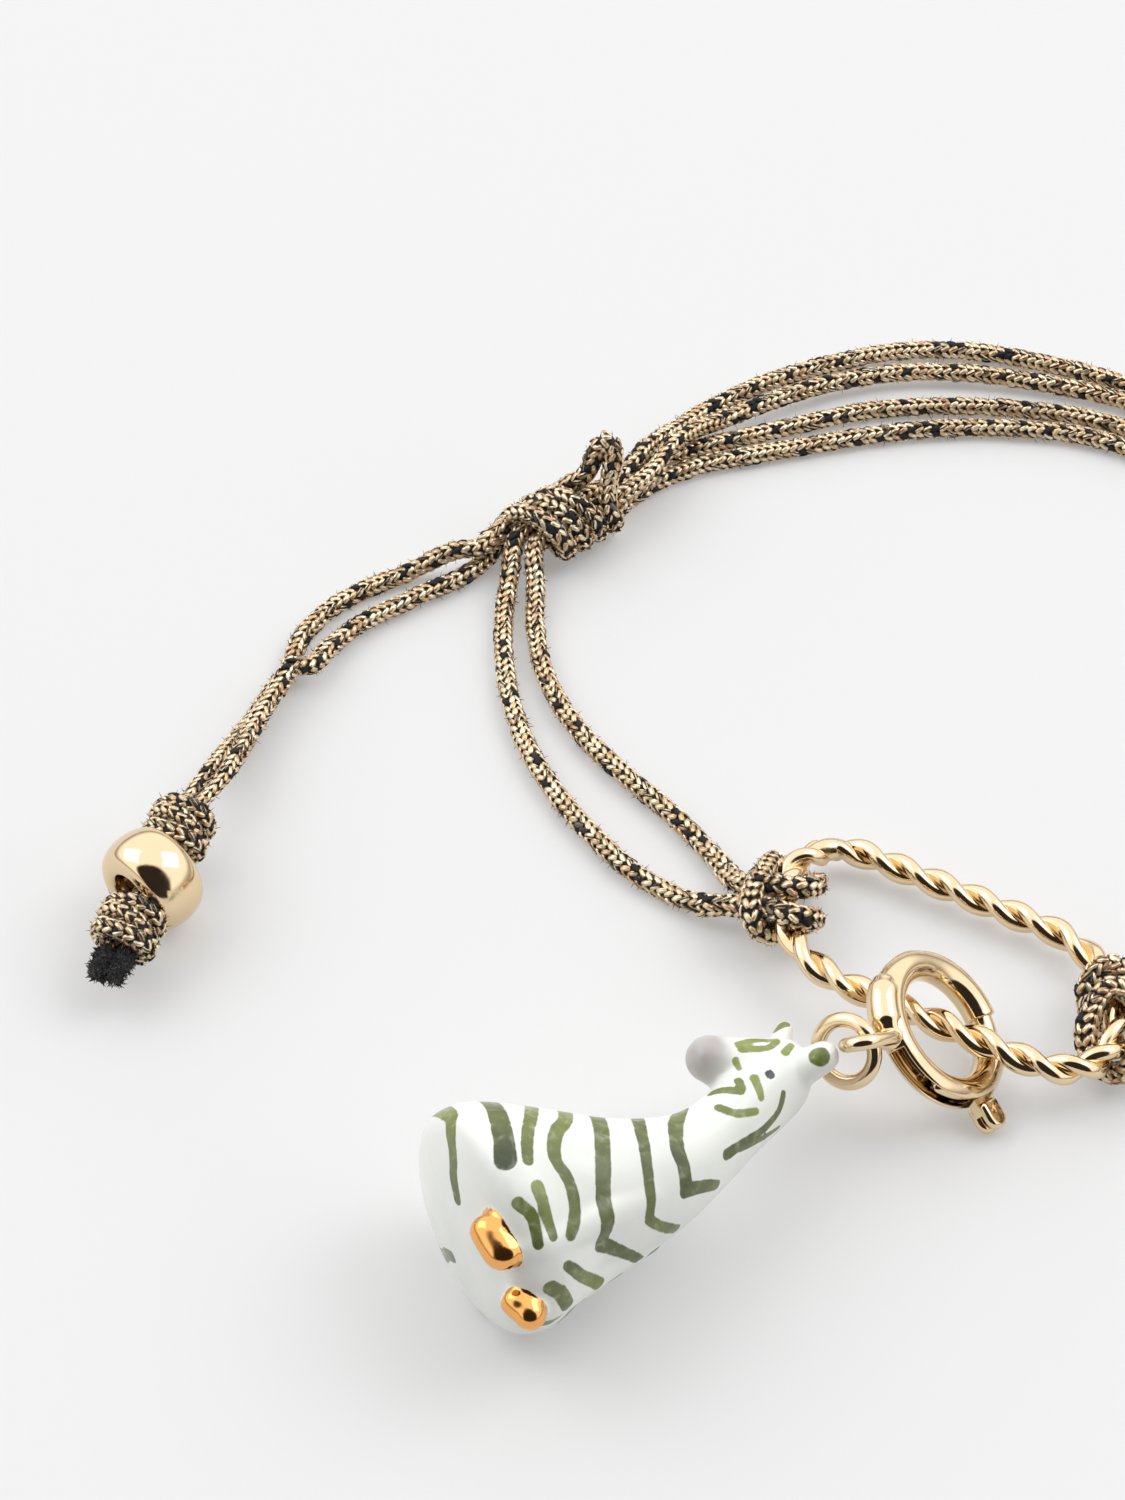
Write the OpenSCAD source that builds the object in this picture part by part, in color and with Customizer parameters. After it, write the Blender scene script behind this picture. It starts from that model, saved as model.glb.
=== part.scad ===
// Cord bracelet: a doubled knitted cord loop with two sliding knots, closed in front by an
// oval link of twisted wire. A spring ring clasp hooked over the link carries a porcelain
// zebra charm on a jump ring. Millimetres, +Z up, lying on the plane z = 0, with the
// origin under the middle of the whole outline. +X runs along the bracelet's width.

/* [Cord] */
// Diameter of the knitted cord
cord_d = 1.2; // [1.1:0.02:1.24]
// Diameter of the cord where a sliding knot squeezes it
knot_cord_d = 1.14; // [1:0.02:1.16]
// Diameter of the cord in a lark's head
lark_cord_d = 1.08; // [0.96:0.02:1.08]
// Diameter of the cord inside the hard stop knots
stop_cord_d = 0.82; // [0.74:0.02:0.82]

/* [Oval link] */
// Length of the link between the wire centres at its two ends
link_length = 19.8; // [19.6:0.1:20]
// Width of the link between the wire centres of its two sides
link_width = 10.4; // [10.2:0.1:10.6]
// Diameter of each of the two twisted wires
link_wire_d = 0.84; // [0.7:0.02:0.86]
// Full turns of the twist around the whole link
link_turns = 11; // [10:1:16]

/* [Spring ring clasp] */
// Outer diameter of the ring
ring_d = 9; // [8.8:0.1:9.2]
// Diameter of the ring's tube
ring_tube_d = 1.7; // [1.6:0.05:1.8]
// Diameter of the bore in the ring's tube
ring_bore_d = 1.15; // [1.1:0.05:1.2]
// Diameter of the sprung bolt
bolt_d = 0.9; // [0.8:0.05:0.95]
// Wire of the eyelet on the sleeve
eyelet_wire_d = 0.65; // [0.5:0.05:0.7]

/* [Jump ring and charm eye] */
// Outer diameter of the jump ring
jump_d = 4; // [3.8:0.1:4]
// Wire of the jump ring
jump_wire_d = 0.6; // [0.5:0.02:0.62]
// Outer diameter of the charm's metal eye
eye_d = 2.2; // [2.1:0.1:2.3]
// Wire of the charm's metal eye
eye_wire_d = 0.5; // [0.4:0.05:0.55]

/* [Beads] */
// Outer diameter of a bead
bead_d = 5.9; // [5.6:0.1:5.9]
// Length of a bead along the cord
bead_length = 3.4; // [3:0.1:3.6]
// Hole through a bead
bead_hole_d = 2.7; // [2.6:0.1:3]

/* [Zebra charm] */
// Height of the standing figure without its metal eye
zebra_height = 21; // [20.5:0.1:21.2]

/* [Hidden] */

cord_r = cord_d / 2;
knot_r = knot_cord_d / 2;
lark_r = lark_cord_d / 2;
stop_r = stop_cord_d / 2;
sides = 8;

// Place of the oval link: its centre, its turn in plan and its roll about its length.
link_at = [-3.43, -14.05, 2.2];
link_yaw = -29.1;
link_roll = -9;

// Place of each sliding knot: centre in plan and the way its core runs to the back.
left_knot_at = [-24.6, 20.9];
left_knot_yaw = 40;
right_knot_at = [32.6, 0.5];
right_knot_yaw = 92;
knot_core_z = 1.95;

// Gold parts of the clasp: ring centre, fall of its plane and the way it falls.
ring_at = [-4.5, -20.13, 3.55];
ring_fall = 39.7;
ring_yaw = -10.3;
// Angles round the ring, from its lowest point: the gap, the slot, the sleeve, the eyelet.
gap_from = 8;
gap_to = 42;
slot_from = 230;
slot_to = 332;
sleeve_from = 178;
sleeve_to = 212;
eyelet_angle = 220;
eyelet_twist = 55;
lever_angle = 321;
bolt_from = 262;
bolt_to = 408;

// Place of the jump ring, the charm's eye and the zebra.
jump_at = [-9.72, -22.99, 5.3];
jump_normal = [-0.557, -0.636, 0.535];
eye_at = [-11.27, -22.6, 4.38];
zebra_at = [-29.0, -34.5, 6.1];
zebra_yaw = 30;
zebra_fall = 5;

// Vector helpers.
function unit(v) = v / norm(v);
function wrap_row(list, i) = list[min(max(i, 0), len(list) - 1)];

// Point on a smooth curve through four route points, at share t between the middle two.
function curve_point(a, b, c, d, t) =
  ((2 * b) + (c - a) * t + (2 * a - 5 * b + 4 * c - d) * t * t
    + (3 * b - a - 3 * c + d) * t * t * t) / 2;

// Smooth curve through all route points, with a number of steps between each two.
function smooth(route, steps) = concat(
  [for (i = [0:len(route) - 2], j = [0:steps - 1])
    curve_point(wrap_row(route, i - 1), route[i], route[i + 1], wrap_row(route, i + 2), j / steps)],
  [route[len(route) - 1]]
);

// Direction of travel at point i of a path.
function heading(path, i) = unit(wrap_row(path, i + 1) - wrap_row(path, i - 1));

// Side direction carried along a path without twist.
function square_to(v, axis) = unit(v - (v * axis) * axis);
function first_side(axis) = square_to(abs(axis[2]) > 0.8 ? [1, 0, 0] : [0, 0, 1], axis);
function side_list(path) = [
  for (i = 0, s = first_side(heading(path, 0)); i < len(path);
    i = i + 1, s = i < len(path) ? square_to(s, heading(path, i)) : s) s
];

// Round tube along a path, closed by flat ends; the radius is one number or a list of them.
module tube(path, radius, around = sides) {
  count = len(path);
  side = side_list(path);
  points = [
    for (i = [0:count - 1], k = [0:around - 1])
      let (r = is_list(radius) ? radius[i] : radius)
      path[i] + r * (cos(360 * k / around) * side[i]
        + sin(360 * k / around) * cross(heading(path, i), side[i]))
  ];
  walls = [
    for (i = [0:count - 2], k = [0:around - 1])
      let (n = (k + 1) % around)
      [i * around + k, (i + 1) * around + k, (i + 1) * around + n, i * around + n]
  ];
  first_cap = [for (k = [0:around - 1]) k];
  last_cap = [for (k = [around - 1:-1:0]) (count - 1) * around + k];
  polyhedron(points, concat(walls, [first_cap, last_cap]));
}

// Closed skin over a stack of rings that have the same number of points.
module loft(rings) {
  around = len(rings[0]);
  count = len(rings);
  walls = [
    for (i = [0:count - 2], k = [0:around - 1])
      let (n = (k + 1) % around)
      [i * around + k, (i + 1) * around + k, (i + 1) * around + n, i * around + n]
  ];
  first_cap = [for (k = [0:around - 1]) k];
  last_cap = [for (k = [around - 1:-1:0]) (count - 1) * around + k];
  polyhedron([for (ring = rings) each ring], concat(walls, [first_cap, last_cap]));
}

module in_link_frame() {
  translate(link_at) rotate([0, 0, link_yaw]) rotate([link_roll, 0, 0]) children();
}

// Point on the slightly racked oval that the middle of the link's rope follows, at
// distance u along it: a long side, a rounded corner, a short end and the next corner, and
// then the same turned half round.
link_corner_r = 4.7;
link_rack = -0.31;
link_long = link_length - 2 * link_corner_r;
link_short = link_width - 2 * link_corner_r;
link_bend = PI * link_corner_r / 2;
link_half = link_long + link_short + 2 * link_bend;
function link_corner(x, y, angle) = [
  x + link_corner_r * cos(angle),
  y + link_corner_r * sin(angle)
];
function link_plain_point(u) =
  u < link_long ? [u - link_long / 2, -link_width / 2]
  : u < link_long + link_bend
    ? link_corner(link_long / 2, -link_short / 2, 90 * (u - link_long) / link_bend - 90)
  : u < link_long + link_bend + link_short
    ? [link_length / 2, u - link_long - link_bend - link_short / 2]
  : link_corner(link_long / 2, link_short / 2,
      90 * (u - link_long - link_bend - link_short) / link_bend);
function racked(q) = [q[0] + link_rack * q[1], q[1], 0];
function link_point(u) = u < link_half
  ? racked(link_plain_point(u))
  : -racked(link_plain_point(u - link_half));
function link_heading(u) = unit(link_point((u + 0.05) % (2 * link_half)) - link_point(u));

// Outline of two wires lying against each other, as seen in a cut across the rope.
rope_points = 12;
function rope_reach(angle) =
  let (c = abs(cos(angle)), r = link_wire_d / 2)
  r * (0.96 * c + sqrt(max(1 - 0.92 * (1 - c * c), 0.01)));

module rope_link() {
  rings = 112;
  color("gold") in_link_frame() {
    points = [
      for (i = [0:rings - 1])
        let (
          u = 2 * link_half * i / rings,
          ahead = link_heading(u),
          out = cross(ahead, [0, 0, 1]),
          twist = -360 * link_turns * i / rings
        )
        for (k = [0:rope_points - 1])
          let (a = 360 * k / rope_points, r = rope_reach(a))
          link_point(u) + r * (cos(a + twist) * out + sin(a + twist) * [0, 0, 1])
    ];
    walls = [
      for (i = [0:rings - 1], k = [0:rope_points - 1])
        let (j = (i + 1) % rings, n = (k + 1) % rope_points)
        each [
          [i * rope_points + k, i * rope_points + n, j * rope_points + n],
          [i * rope_points + k, j * rope_points + n, j * rope_points + k]
        ]
    ];
    polyhedron(points, walls);
  }
}

// Lark's head: the doubled cord, from one standing cord over the link's end, round its far
// side, back under it, across as the collar, and the same way to the other standing cord.
// In the frame of the link's end, x runs to the inside of the link, y along its rope, z up.
lark_route = [
  [-3.9, 1.7, -1.28], [-3.1, 1.35, -1.18], [-2.3, 0.85, -0.7], [-1.76, 0.6, -0.02],
  [-1.25, 0.56, 0.72], [-0.62, 0.56, 1.3], [0.1, 0.57, 1.44], [0.95, 0.6, 1.09],
  [1.43, 0.74, 0.1], [1.05, 1.05, -1.0], [0.1, 1.42, -1.44], [-0.87, 1.72, -1.14],
  [-1.44, 1.86, -0.25], [-1.4, 1.86, 0.65], [-1.4, 1.55, 1.45], [-1.64, 0.85, 1.99],
  [-1.66, 0, 2.09], [-1.68, -0.7, 1.96], [-1.78, -1.35, 1.5], [-1.8, -1.72, 0.6],
  [-1.52, -1.76, -0.3], [-0.87, -1.68, -1.14], [0.1, -1.42, -1.44], [1.05, -1.05, -1.0],
  [1.43, -0.74, 0.1], [0.95, -0.6, 1.09], [0.1, -0.57, 1.44], [-0.62, -0.56, 1.3],
  [-1.25, -0.56, 0.72], [-1.76, -0.58, -0.02], [-2.35, -0.66, -0.72], [-3.2, -0.85, -1.18],
  [-3.9, -0.95, -1.28]
];

// Frame of a lark's head: the middle of the link's left end, turned along its rope.
module in_lark_frame() {
  in_link_frame() translate([-link_length / 2, 0, 0]) rotate([0, 0, -atan(link_rack)])
    children();
}

module larks_head() {
  color("darkkhaki") tube(smooth(lark_route, 2), lark_r);
}

module larks_head_left() {
  in_lark_frame() larks_head();
}

module larks_head_right() {
  in_link_frame() rotate([0, 0, 180]) translate([-link_length / 2, 0, 0])
    rotate([0, 0, -atan(link_rack)]) larks_head();
}

// Routes of the four main cords, each from its lark's head through its own sliding knot
// and round the back to the other knot. They touch the surface between the knots.
cord_left_outer_route = [
  [-16.32, -9.51, 1.25], [-17.27, -9.46, 1.18], [-18.05, -8.25, 0.6], [-20.95, -6.1, 0.6],
  [-23.95, -2.1, 0.6], [-26.2, 2.2, 0.6], [-27.5, 6.6, 0.6], [-28, 10.8, 0.6],
  [-28, 14, 0.65], [-27.7, 16.8, 1.2], [-27.25, 19.3, 1.95], [-25.25, 21.3, 1.95],
  [-22.95, 23.2, 2], [-21.3, 24.4, 2.05], [-20.15, 25.95, 2.1], [-19.1, 27.9, 1.8],
  [-17.35, 30.3, 1.05], [-15, 32.7, 0.75], [-11.5, 35.1, 0.75], [-7.15, 37.05, 0.7],
  [-2.55, 38.35, 0.7], [2.25, 38.35, 0.65], [7.05, 37.15, 0.65], [11.9, 35.1, 0.65],
  [16.5, 32.3, 0.65], [20.7, 29.2, 0.65], [24.6, 25.7, 0.6], [28, 21.7, 0.6],
  [30.7, 17.2, 0.6], [32.6, 12.4, 0.6], [33.5, 8.2, 0.6], [33.56, 5.92, 0.64],
  [33.42, 4.97, 0.62]
];
cord_left_inner_route = [
  [-15.76, -6.87, 0.84], [-16.55, -6.33, 0.72], [-16.6, -4.5, 0.6], [-18.6, -1.75, 0.6],
  [-21.5, 1.55, 0.6], [-24.1, 5.4, 0.6], [-25.65, 9.5, 0.6], [-26.15, 13.35, 0.65],
  [-26.1, 16.25, 1.15], [-26.15, 18.55, 1.9], [-24.2, 20.55, 1.95], [-21.95, 22.4, 2.05],
  [-20.2, 23.65, 2.2], [-18.8, 25.2, 2.3], [-17.8, 27.15, 2.35], [-16.3, 29.3, 1.85],
  [-14.2, 31.1, 1.2], [-11.4, 32.85, 1.1], [-7.8, 34.6, 1], [-3.35, 35.85, 0.95],
  [1.15, 36, 0.9], [5.9, 35.25, 0.8], [10.6, 33.85, 0.75], [15, 31.5, 0.75],
  [19.25, 28.6, 0.7], [23.05, 25.1, 0.65], [26.45, 21.05, 0.65], [29.3, 16.65, 0.6],
  [31.2, 12.25, 0.6], [31.95, 8.2, 0.6], [32.25, 5.85, 0.62], [32.03, 4.92, 0.62]
];
cord_right_outer_route = [
  [8.7, -21.58, 1], [9.47, -22.15, 0.9], [12, -21.9, 0.6], [16, -22.9, 0.6],
  [20.5, -22.1, 0.6], [24.7, -19.3, 0.6], [28.25, -15.5, 0.6], [31.05, -11.2, 0.6],
  [32.25, -6.6, 0.8], [32.7, -4.5, 1.5], [33.2, -2.6, 1.95], [33.25, 0.5, 1.95],
  [33.15, 3.5, 2], [32.95, 6.25, 2], [31.6, 9.55, 2], [29.6, 13.35, 1.3],
  [27.2, 17.05, 0.7], [24.3, 20.75, 0.65], [21, 24.15, 0.65], [17.3, 27.1, 0.65],
  [13.4, 29.7, 0.65], [9.25, 31.8, 0.65], [4.85, 32.75, 0.6], [0.25, 33.05, 0.6],
  [-4.35, 32.7, 0.6], [-8.35, 31.6, 0.6], [-12.1, 30.35, 0.6], [-15.6, 29.15, 0.6],
  [-18.65, 27.6, 0.6], [-20.55, 26.1, 0.6], [-21.21, 25.24, 0.64], [-21.83, 24.5, 0.62]
];
cord_right_inner_route = [
  [9.26, -18.95, 0.6], [10.19, -19.03, 0.6], [12, -19.8, 0.6], [16, -20.7, 0.6],
  [20.1, -19.9, 0.6], [23.85, -17.5, 0.6], [27.05, -14.1, 0.6], [29.65, -10.1, 0.6],
  [30.85, -6.3, 0.8], [31.35, -4.4, 1.5], [31.9, -2.5, 1.9], [32, 0.5, 1.95],
  [31.9, 3.5, 1.95], [31.6, 6.3, 1.95], [30.1, 9.3, 1.9], [28.1, 12.8, 1.2],
  [25.7, 16.2, 0.6], [22.9, 19.6, 0.6], [19.8, 22.8, 0.6], [16.4, 25.8, 0.6],
  [12.7, 28.4, 0.6], [8.6, 30.2, 0.6], [4.3, 30.9, 0.6], [-0.2, 30.9, 0.6],
  [-4.6, 30.3, 0.6], [-8.8, 29.3, 0.6], [-12.7, 28.3, 0.6], [-15.9, 27.4, 0.6],
  [-18.4, 26, 0.6], [-20, 24.6, 0.6], [-20.39, 24.22, 0.62], [-20.94, 23.43, 0.62]
];

module cord_left_outer() {
  color("darkkhaki") tube(cord_left_outer_route, cord_r);
}

module cord_left_inner() {
  color("darkkhaki") tube(cord_left_inner_route, cord_r);
}

module cord_right_outer() {
  color("darkkhaki") tube(cord_right_outer_route, cord_r);
}

module cord_right_inner() {
  color("darkkhaki") tube(cord_right_inner_route, cord_r);
}

// Sliding knot: the two cords of the far side wind together round the core pair, one and
// a half turns from the inner side over the top to the outer side. In the knot's frame,
// x runs along the core to the back, y to the outside of the loop, z up.
wind_half_y = 2.02;
wind_half_z = 1.36;
wind_pitch = 2.55;
function wind_point(x0, turned) = [
  x0 - wind_pitch * turned / 360,
  -wind_half_y * cos(turned),
  knot_core_z + wind_half_z * sin(turned)
];
// The first cord comes in below the core, makes an ear and leaves low on the outside.
first_wind = concat(
  [[4.3, -0.45, 0.62], [3.75, -0.6, 0.62]],
  [for (turned = [-60, -25]) wind_point(2.6, turned)],
  [
    [3.0, -2.05, 2.2], [3.5, -1.75, 3.2], [4.1, -1.35, 4.1], [4.75, -0.75, 4.85],
    [5.2, 0.0, 5.0], [5.1, 0.7, 4.5], [4.3, 1.2, 3.95], [3.1, 1.65, 3.55], [2.1, 1.95, 3.2]
  ],
  [for (turned = [180:30:540]) wind_point(2.6, turned)],
  [[-1.9, 2.3, 1.05], [-3.0, 2.0, 0.62], [-4.3, 1.6, 0.6]]
);
// The second cord lies beside it and winds one cord further along.
second_wind = concat(
  [[4.3, 0.95, 0.62], [3.2, 0.75, 0.6], [2.3, 0.3, 0.58]],
  [for (turned = [-75, -40, -10]) wind_point(1.32, turned)],
  [for (turned = [20:30:530]) wind_point(1.32, turned)],
  [[-3.0, 1.9, 1.95], [-4.2, 1.65, 1.92]]
);

module sliding_knot() {
  tube(smooth(first_wind, 2), knot_r);
  tube(smooth(second_wind, 2), knot_r);
}

module sliding_knot_left() {
  color("darkkhaki") translate(left_knot_at) rotate([0, 0, left_knot_yaw]) sliding_knot();
}

module sliding_knot_right() {
  color("darkkhaki") translate(right_knot_at) rotate([0, 0, right_knot_yaw])
    mirror([0, 1, 0]) sliding_knot();
}

// Tails: the two cords leave the knot and run to the cut ends, through the first stop
// knot, the bead and the second stop knot. The upper cord starts on top at the knot.
tail_left_upper_route = [
  [-28.96, 19.35, 1.92], [-29.56, 18.6, 1.89], [-31.1, 18.35, 1.8], [-32.95, 18, 1],
  [-34.55, 17.3, 0.6], [-36.3, 16.35, 0.6], [-37.75, 15.25, 0.6], [-39.1, 13.85, 0.6],
  [-40.2, 12, 0.6], [-40.8, 9.45, 0.6], [-41.65, 7.65, 0.6], [-42.4, 5.9, 0.6],
  [-43.2, 3.9, 0.85], [-44.1, 1.7, 1.4], [-44.95, -0.7, 2.25], [-45.75, -2.9, 2.65],
  [-46.4, -4.9, 2.65], [-47, -6.95, 2.65], [-47.65, -9, 2.65], [-48.2, -10.95, 2.65],
  [-48.81, -12.84, 2.65], [-49.36, -14.66, 2.65]
];
tail_left_lower_route = [
  [-29, 19.24, 0.6], [-29.52, 18.44, 0.6], [-31.1, 17, 0.6], [-32.85, 15.9, 0.65],
  [-34.35, 14.85, 0.65], [-35.95, 13.8, 0.65], [-37.2, 12.55, 0.75], [-38.35, 11.05, 0.9],
  [-39.3, 9.25, 1.25], [-40.45, 8.55, 1.65], [-41.3, 6.7, 1.65], [-42, 4.95, 1.7],
  [-42.65, 2.95, 1.9], [-43.25, 0.8, 2.25], [-43.95, -1.35, 2.6], [-44.9, -3.15, 2.65],
  [-45.5, -5.15, 2.65], [-46.15, -7.25, 2.65], [-46.75, -9.3, 2.65], [-47.35, -11.2, 2.65],
  [-47.93, -13.11, 2.65], [-48.49, -14.93, 2.65]
];
tail_right_upper_route = [
  [34.37, -3.78, 1.92], [34.21, -4.72, 1.89], [35.75, -5.6, 1.8], [37.4, -7.35, 0.6],
  [39.1, -9.35, 0.6], [40.85, -11.5, 0.6], [42.35, -13.85, 0.6], [43.7, -16.3, 0.6],
  [44.8, -18.75, 0.65], [45.7, -20.95, 0.9], [46.5, -22.95, 1.6], [47.05, -25, 2.65],
  [47.4, -27.1, 2.65], [47.8, -29.2, 2.65], [48.15, -31.3, 2.65], [48.5, -33.3, 2.65],
  [48.85, -35.26, 2.65], [49.18, -37.13, 2.65]
];
tail_right_lower_route = [
  [34.31, -3.88, 0.6], [34.06, -4.8, 0.6], [35.15, -6.3, 0.6], [36.35, -8.25, 0.6],
  [38.1, -10.25, 0.6], [39.75, -12.3, 0.6], [41.2, -14.55, 0.6], [42.5, -16.9, 0.6],
  [43.6, -19.25, 0.65], [44.5, -21.45, 0.9], [45.4, -23.45, 1.6], [46.15, -25.2, 2.65],
  [46.5, -27.25, 2.65], [46.85, -29.35, 2.65], [47.25, -31.5, 2.65], [47.6, -33.45, 2.65],
  [47.94, -35.42, 2.65], [48.27, -37.29, 2.65]
];

// Radius along a tail: the cord is squeezed from the first stop knot to its cut end.
squeezed_points = 7;
squeezed_r = 0.43;
function tail_radii(route) = [
  for (i = [0:len(route) - 1])
    i < len(route) - squeezed_points - 1 ? cord_r
    : i < len(route) - squeezed_points ? (cord_r + squeezed_r) / 2
    : squeezed_r
];
module tail(route) {
  color("darkkhaki") tube(route, tail_radii(route));
}

module tail_left_upper() {
  tail(tail_left_upper_route);
}

module tail_left_lower() {
  tail(tail_left_lower_route);
}

module tail_right_upper() {
  tail(tail_right_upper_route);
}

module tail_right_lower() {
  tail(tail_right_lower_route);
}

// Frame of the clasp's ring: z is the ring's axis, x points to its lowest point.
module in_ring_frame() {
  translate(ring_at) rotate([0, 0, ring_yaw]) rotate([0, ring_fall, 0]) children();
}

// Part of a ring, from one angle to another, with a round section.
module ring_arc(radius, section_d, from, to) {
  rotate([0, 0, from]) rotate_extrude(angle = to - from, $fn = 64)
    translate([radius, 0]) circle(d = section_d, $fn = 24);
}

ring_r = (ring_d - ring_tube_d) / 2;

// Closed wire eye with straight sides, lying in its own xy plane along x.
module wire_eye(length, width, wire) {
  bend_r = (width - wire) / 2;
  half = (length - width) / 2;
  for (end = [-1, 1]) {
    translate([end * half, 0, 0]) rotate([0, 0, -90 * end])
      rotate_extrude(angle = 180, $fn = 48) translate([bend_r, 0]) circle(d = wire, $fn = 20);
    translate([-half, end * bend_r, 0]) rotate([0, 90, 0])
      cylinder(h = 2 * half, d = wire, $fn = 20);
  }
}

eyelet_length = 3.7;
eyelet_width = 2.4;
eyelet_in_ring = 0.5;
sleeve_d = 1.95;
sleeve_out = 0.28;
slot_width = 0.62;
slot_inside = 0.3;

module clasp_body() {
  color("gold") in_ring_frame() difference() {
    union() {
      ring_arc(ring_r, ring_tube_d, gap_to, 360 + gap_from);
      ring_arc(ring_r + sleeve_out, sleeve_d, sleeve_from, sleeve_to);
      rotate([0, 0, eyelet_angle])
        translate([ring_d / 2 + eyelet_length / 2 - eyelet_in_ring, 0, 0])
        rotate([eyelet_twist, 0, 0]) wire_eye(eyelet_length, eyelet_width, eyelet_wire_d);
    }
    ring_arc(ring_r, ring_bore_d, gap_to - 5, 365 + gap_from);
    rotate([0, 0, slot_from]) rotate_extrude(angle = slot_to - slot_from, $fn = 64)
      translate([ring_r + slot_inside, -slot_width / 2]) square([ring_tube_d, slot_width]);
  }
}

// Bolt inside the ring's bore, with its rounded tip and the thumb lever that stands out
// of the slot.
lever_out = 1.35;
lever_thick = 0.5;
lever_width = 1.3;
lever_wide = 0.95;

module clasp_bolt() {
  color("goldenrod") in_ring_frame() {
    ring_arc(ring_r, bolt_d, bolt_from, bolt_to);
    rotate([0, 0, bolt_to]) translate([ring_r, 0, 0]) sphere(d = bolt_d, $fn = 24);
    rotate([0, 0, lever_angle]) {
      translate([ring_r, -lever_width / 2, -lever_thick / 2])
        cube([ring_d / 2 - ring_r + 0.3, lever_width, lever_thick]);
      translate([ring_d / 2 + 0.15, 0, 0]) thumb_lever();
    }
  }
}

// Thumb lever: a folded strip with a round end and a groove along its middle.
module thumb_lever() {
  difference() {
    union() {
      translate([0, -lever_width / 2, -lever_wide / 2])
        cube([lever_out - lever_width / 2, lever_width, lever_wide]);
      translate([lever_out - lever_width / 2, 0, -lever_wide / 2])
        cylinder(h = lever_wide, d = lever_width, $fn = 32);
    }
    translate([lever_out * 0.3, -lever_width, -0.12]) cube([lever_out, 2 * lever_width, 0.24]);
  }
}

// Turns its children so that their z runs along a given direction.
module facing(direction) {
  rotate([0, acos(direction[2] / norm(direction)), atan2(direction[1], direction[0])]) children();
}

module jump_ring() {
  color("gold") translate(jump_at) facing(jump_normal)
    rotate_extrude($fn = 64) translate([(jump_d - jump_wire_d) / 2, 0])
    circle(d = jump_wire_d, $fn = 20);
}

eye_stem = 1.0;
eye_stem_d = 0.7;
eye_roll = -36;
eye_socket_gap = 0.16;

// The charm's eye with its stem; grown by a clearance it is the socket in the crown.
module eye_shape(grown) {
  translate(eye_at) rotate([0, 0, zebra_yaw]) rotate([0, zebra_fall, 0])
    rotate([eye_roll, 0, 0]) {
      rotate_extrude($fn = 48) translate([(eye_d - eye_wire_d) / 2, 0])
        circle(d = eye_wire_d + grown, $fn = 20);
      translate([eye_wire_d / 2 - eye_d / 2 - eye_stem - grown, 0, 0]) rotate([0, 90, 0])
        cylinder(h = eye_stem + grown, d = eye_stem_d + grown, $fn = 20);
    }
}

module charm_eye() {
  color("gold") eye_shape(0);
}

// Zebra: a seated figure that lies on its side. In its own frame x runs up the figure from
// the middle of its base, y points to its back and z to the side that lies on top.
// Body rows: height, centre in y and z, half width in y, half width in z.
body_rows = [
  [0.0, 0, 0, 5.75, 5.75],
  [0.3, -0.1, 0, 6.0, 5.95],
  [1.6, -0.2, 0, 6.0, 5.9],
  [3.0, -0.25, 0, 5.6, 5.5],
  [4.5, -0.45, 0.1, 4.85, 4.9],
  [6.0, -0.85, 0.1, 4.3, 4.4],
  [8.0, -1.35, 0.1, 3.55, 3.7],
  [10.0, -1.55, 0.1, 2.9, 3.1],
  [12.0, -1.4, 0.05, 2.35, 2.6],
  [14.0, -0.8, 0, 2.1, 2.35],
  [16.0, 0.1, 0, 2.15, 2.3],
  [18.0, 0.9, 0, 2.2, 2.3],
  [19.5, 1.25, 0, 1.9, 2.1],
  [20.4, 1.35, 0, 1.2, 1.4]
];
function body_ring(row) = [
  for (a = [0:18:342]) [row[0], row[1] + row[3] * cos(a), row[2] + row[4] * sin(a)]
];

// Straight tapered limb between two balls.
module limb(a, ra, b, rb) {
  hull() {
    translate(a) sphere(ra, $fn = 14);
    translate(b) sphere(rb, $fn = 14);
  }
}

module zebra_legs() {
  limb([1.2, -4.3, 3.0], 1.2, [8.0, -3.2, 1.7], 1.2);
  limb([1.2, -5.2, -0.4], 1.2, [8.0, -3.6, -0.9], 1.2);
  limb([2.3, 3.3, 1.9], 1.7, [4.4, 2.8, 1.5], 1.4);
  limb([0.75, -5.1, 3.1], 0.75, [1.3, -4.2, 2.9], 1.25);
  limb([0.75, -5.7, -0.4], 0.75, [1.3, -5.0, -0.4], 1.25);
}

module zebra_head() {
  limb([18.3, 1.4, 0.1], 2.1, [15.8, 3.1, 1.2], 1.1);
  limb([19.3, 0.4, 1.0], 1.0, [20.8, 0.15, 1.75], 0.85);
  limb([19.3, 2.3, -0.2], 0.85, [21.1, 3.9, -0.2], 0.5);
}

module in_zebra_frame() {
  translate(zebra_at) rotate([0, 0, zebra_yaw]) rotate([0, zebra_fall, 0]) children();
}

module zebra_charm() {
  color("white") difference() {
    in_zebra_frame() scale(zebra_height / 21) {
      loft([for (row = body_rows) body_ring(row)]);
      zebra_legs();
      zebra_head();
    }
    eye_shape(eye_socket_gap);
  }
}

// Stop knot: the tail wound round the pair, in a frame whose x runs along the pair.
stop_half_y = 1.42;
stop_half_z = 1.06;
stop_pitch = 0.95;
stop_turns = 3;
function stop_point(turned) = [
  stop_pitch * (turned / 360 - stop_turns / 2),
  stop_half_y * sin(turned),
  -stop_half_z * cos(turned)
];
module stop_knot() {
  color("darkkhaki")
    tube([for (turned = [0:24:360 * stop_turns]) stop_point(turned)], stop_r);
}

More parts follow.
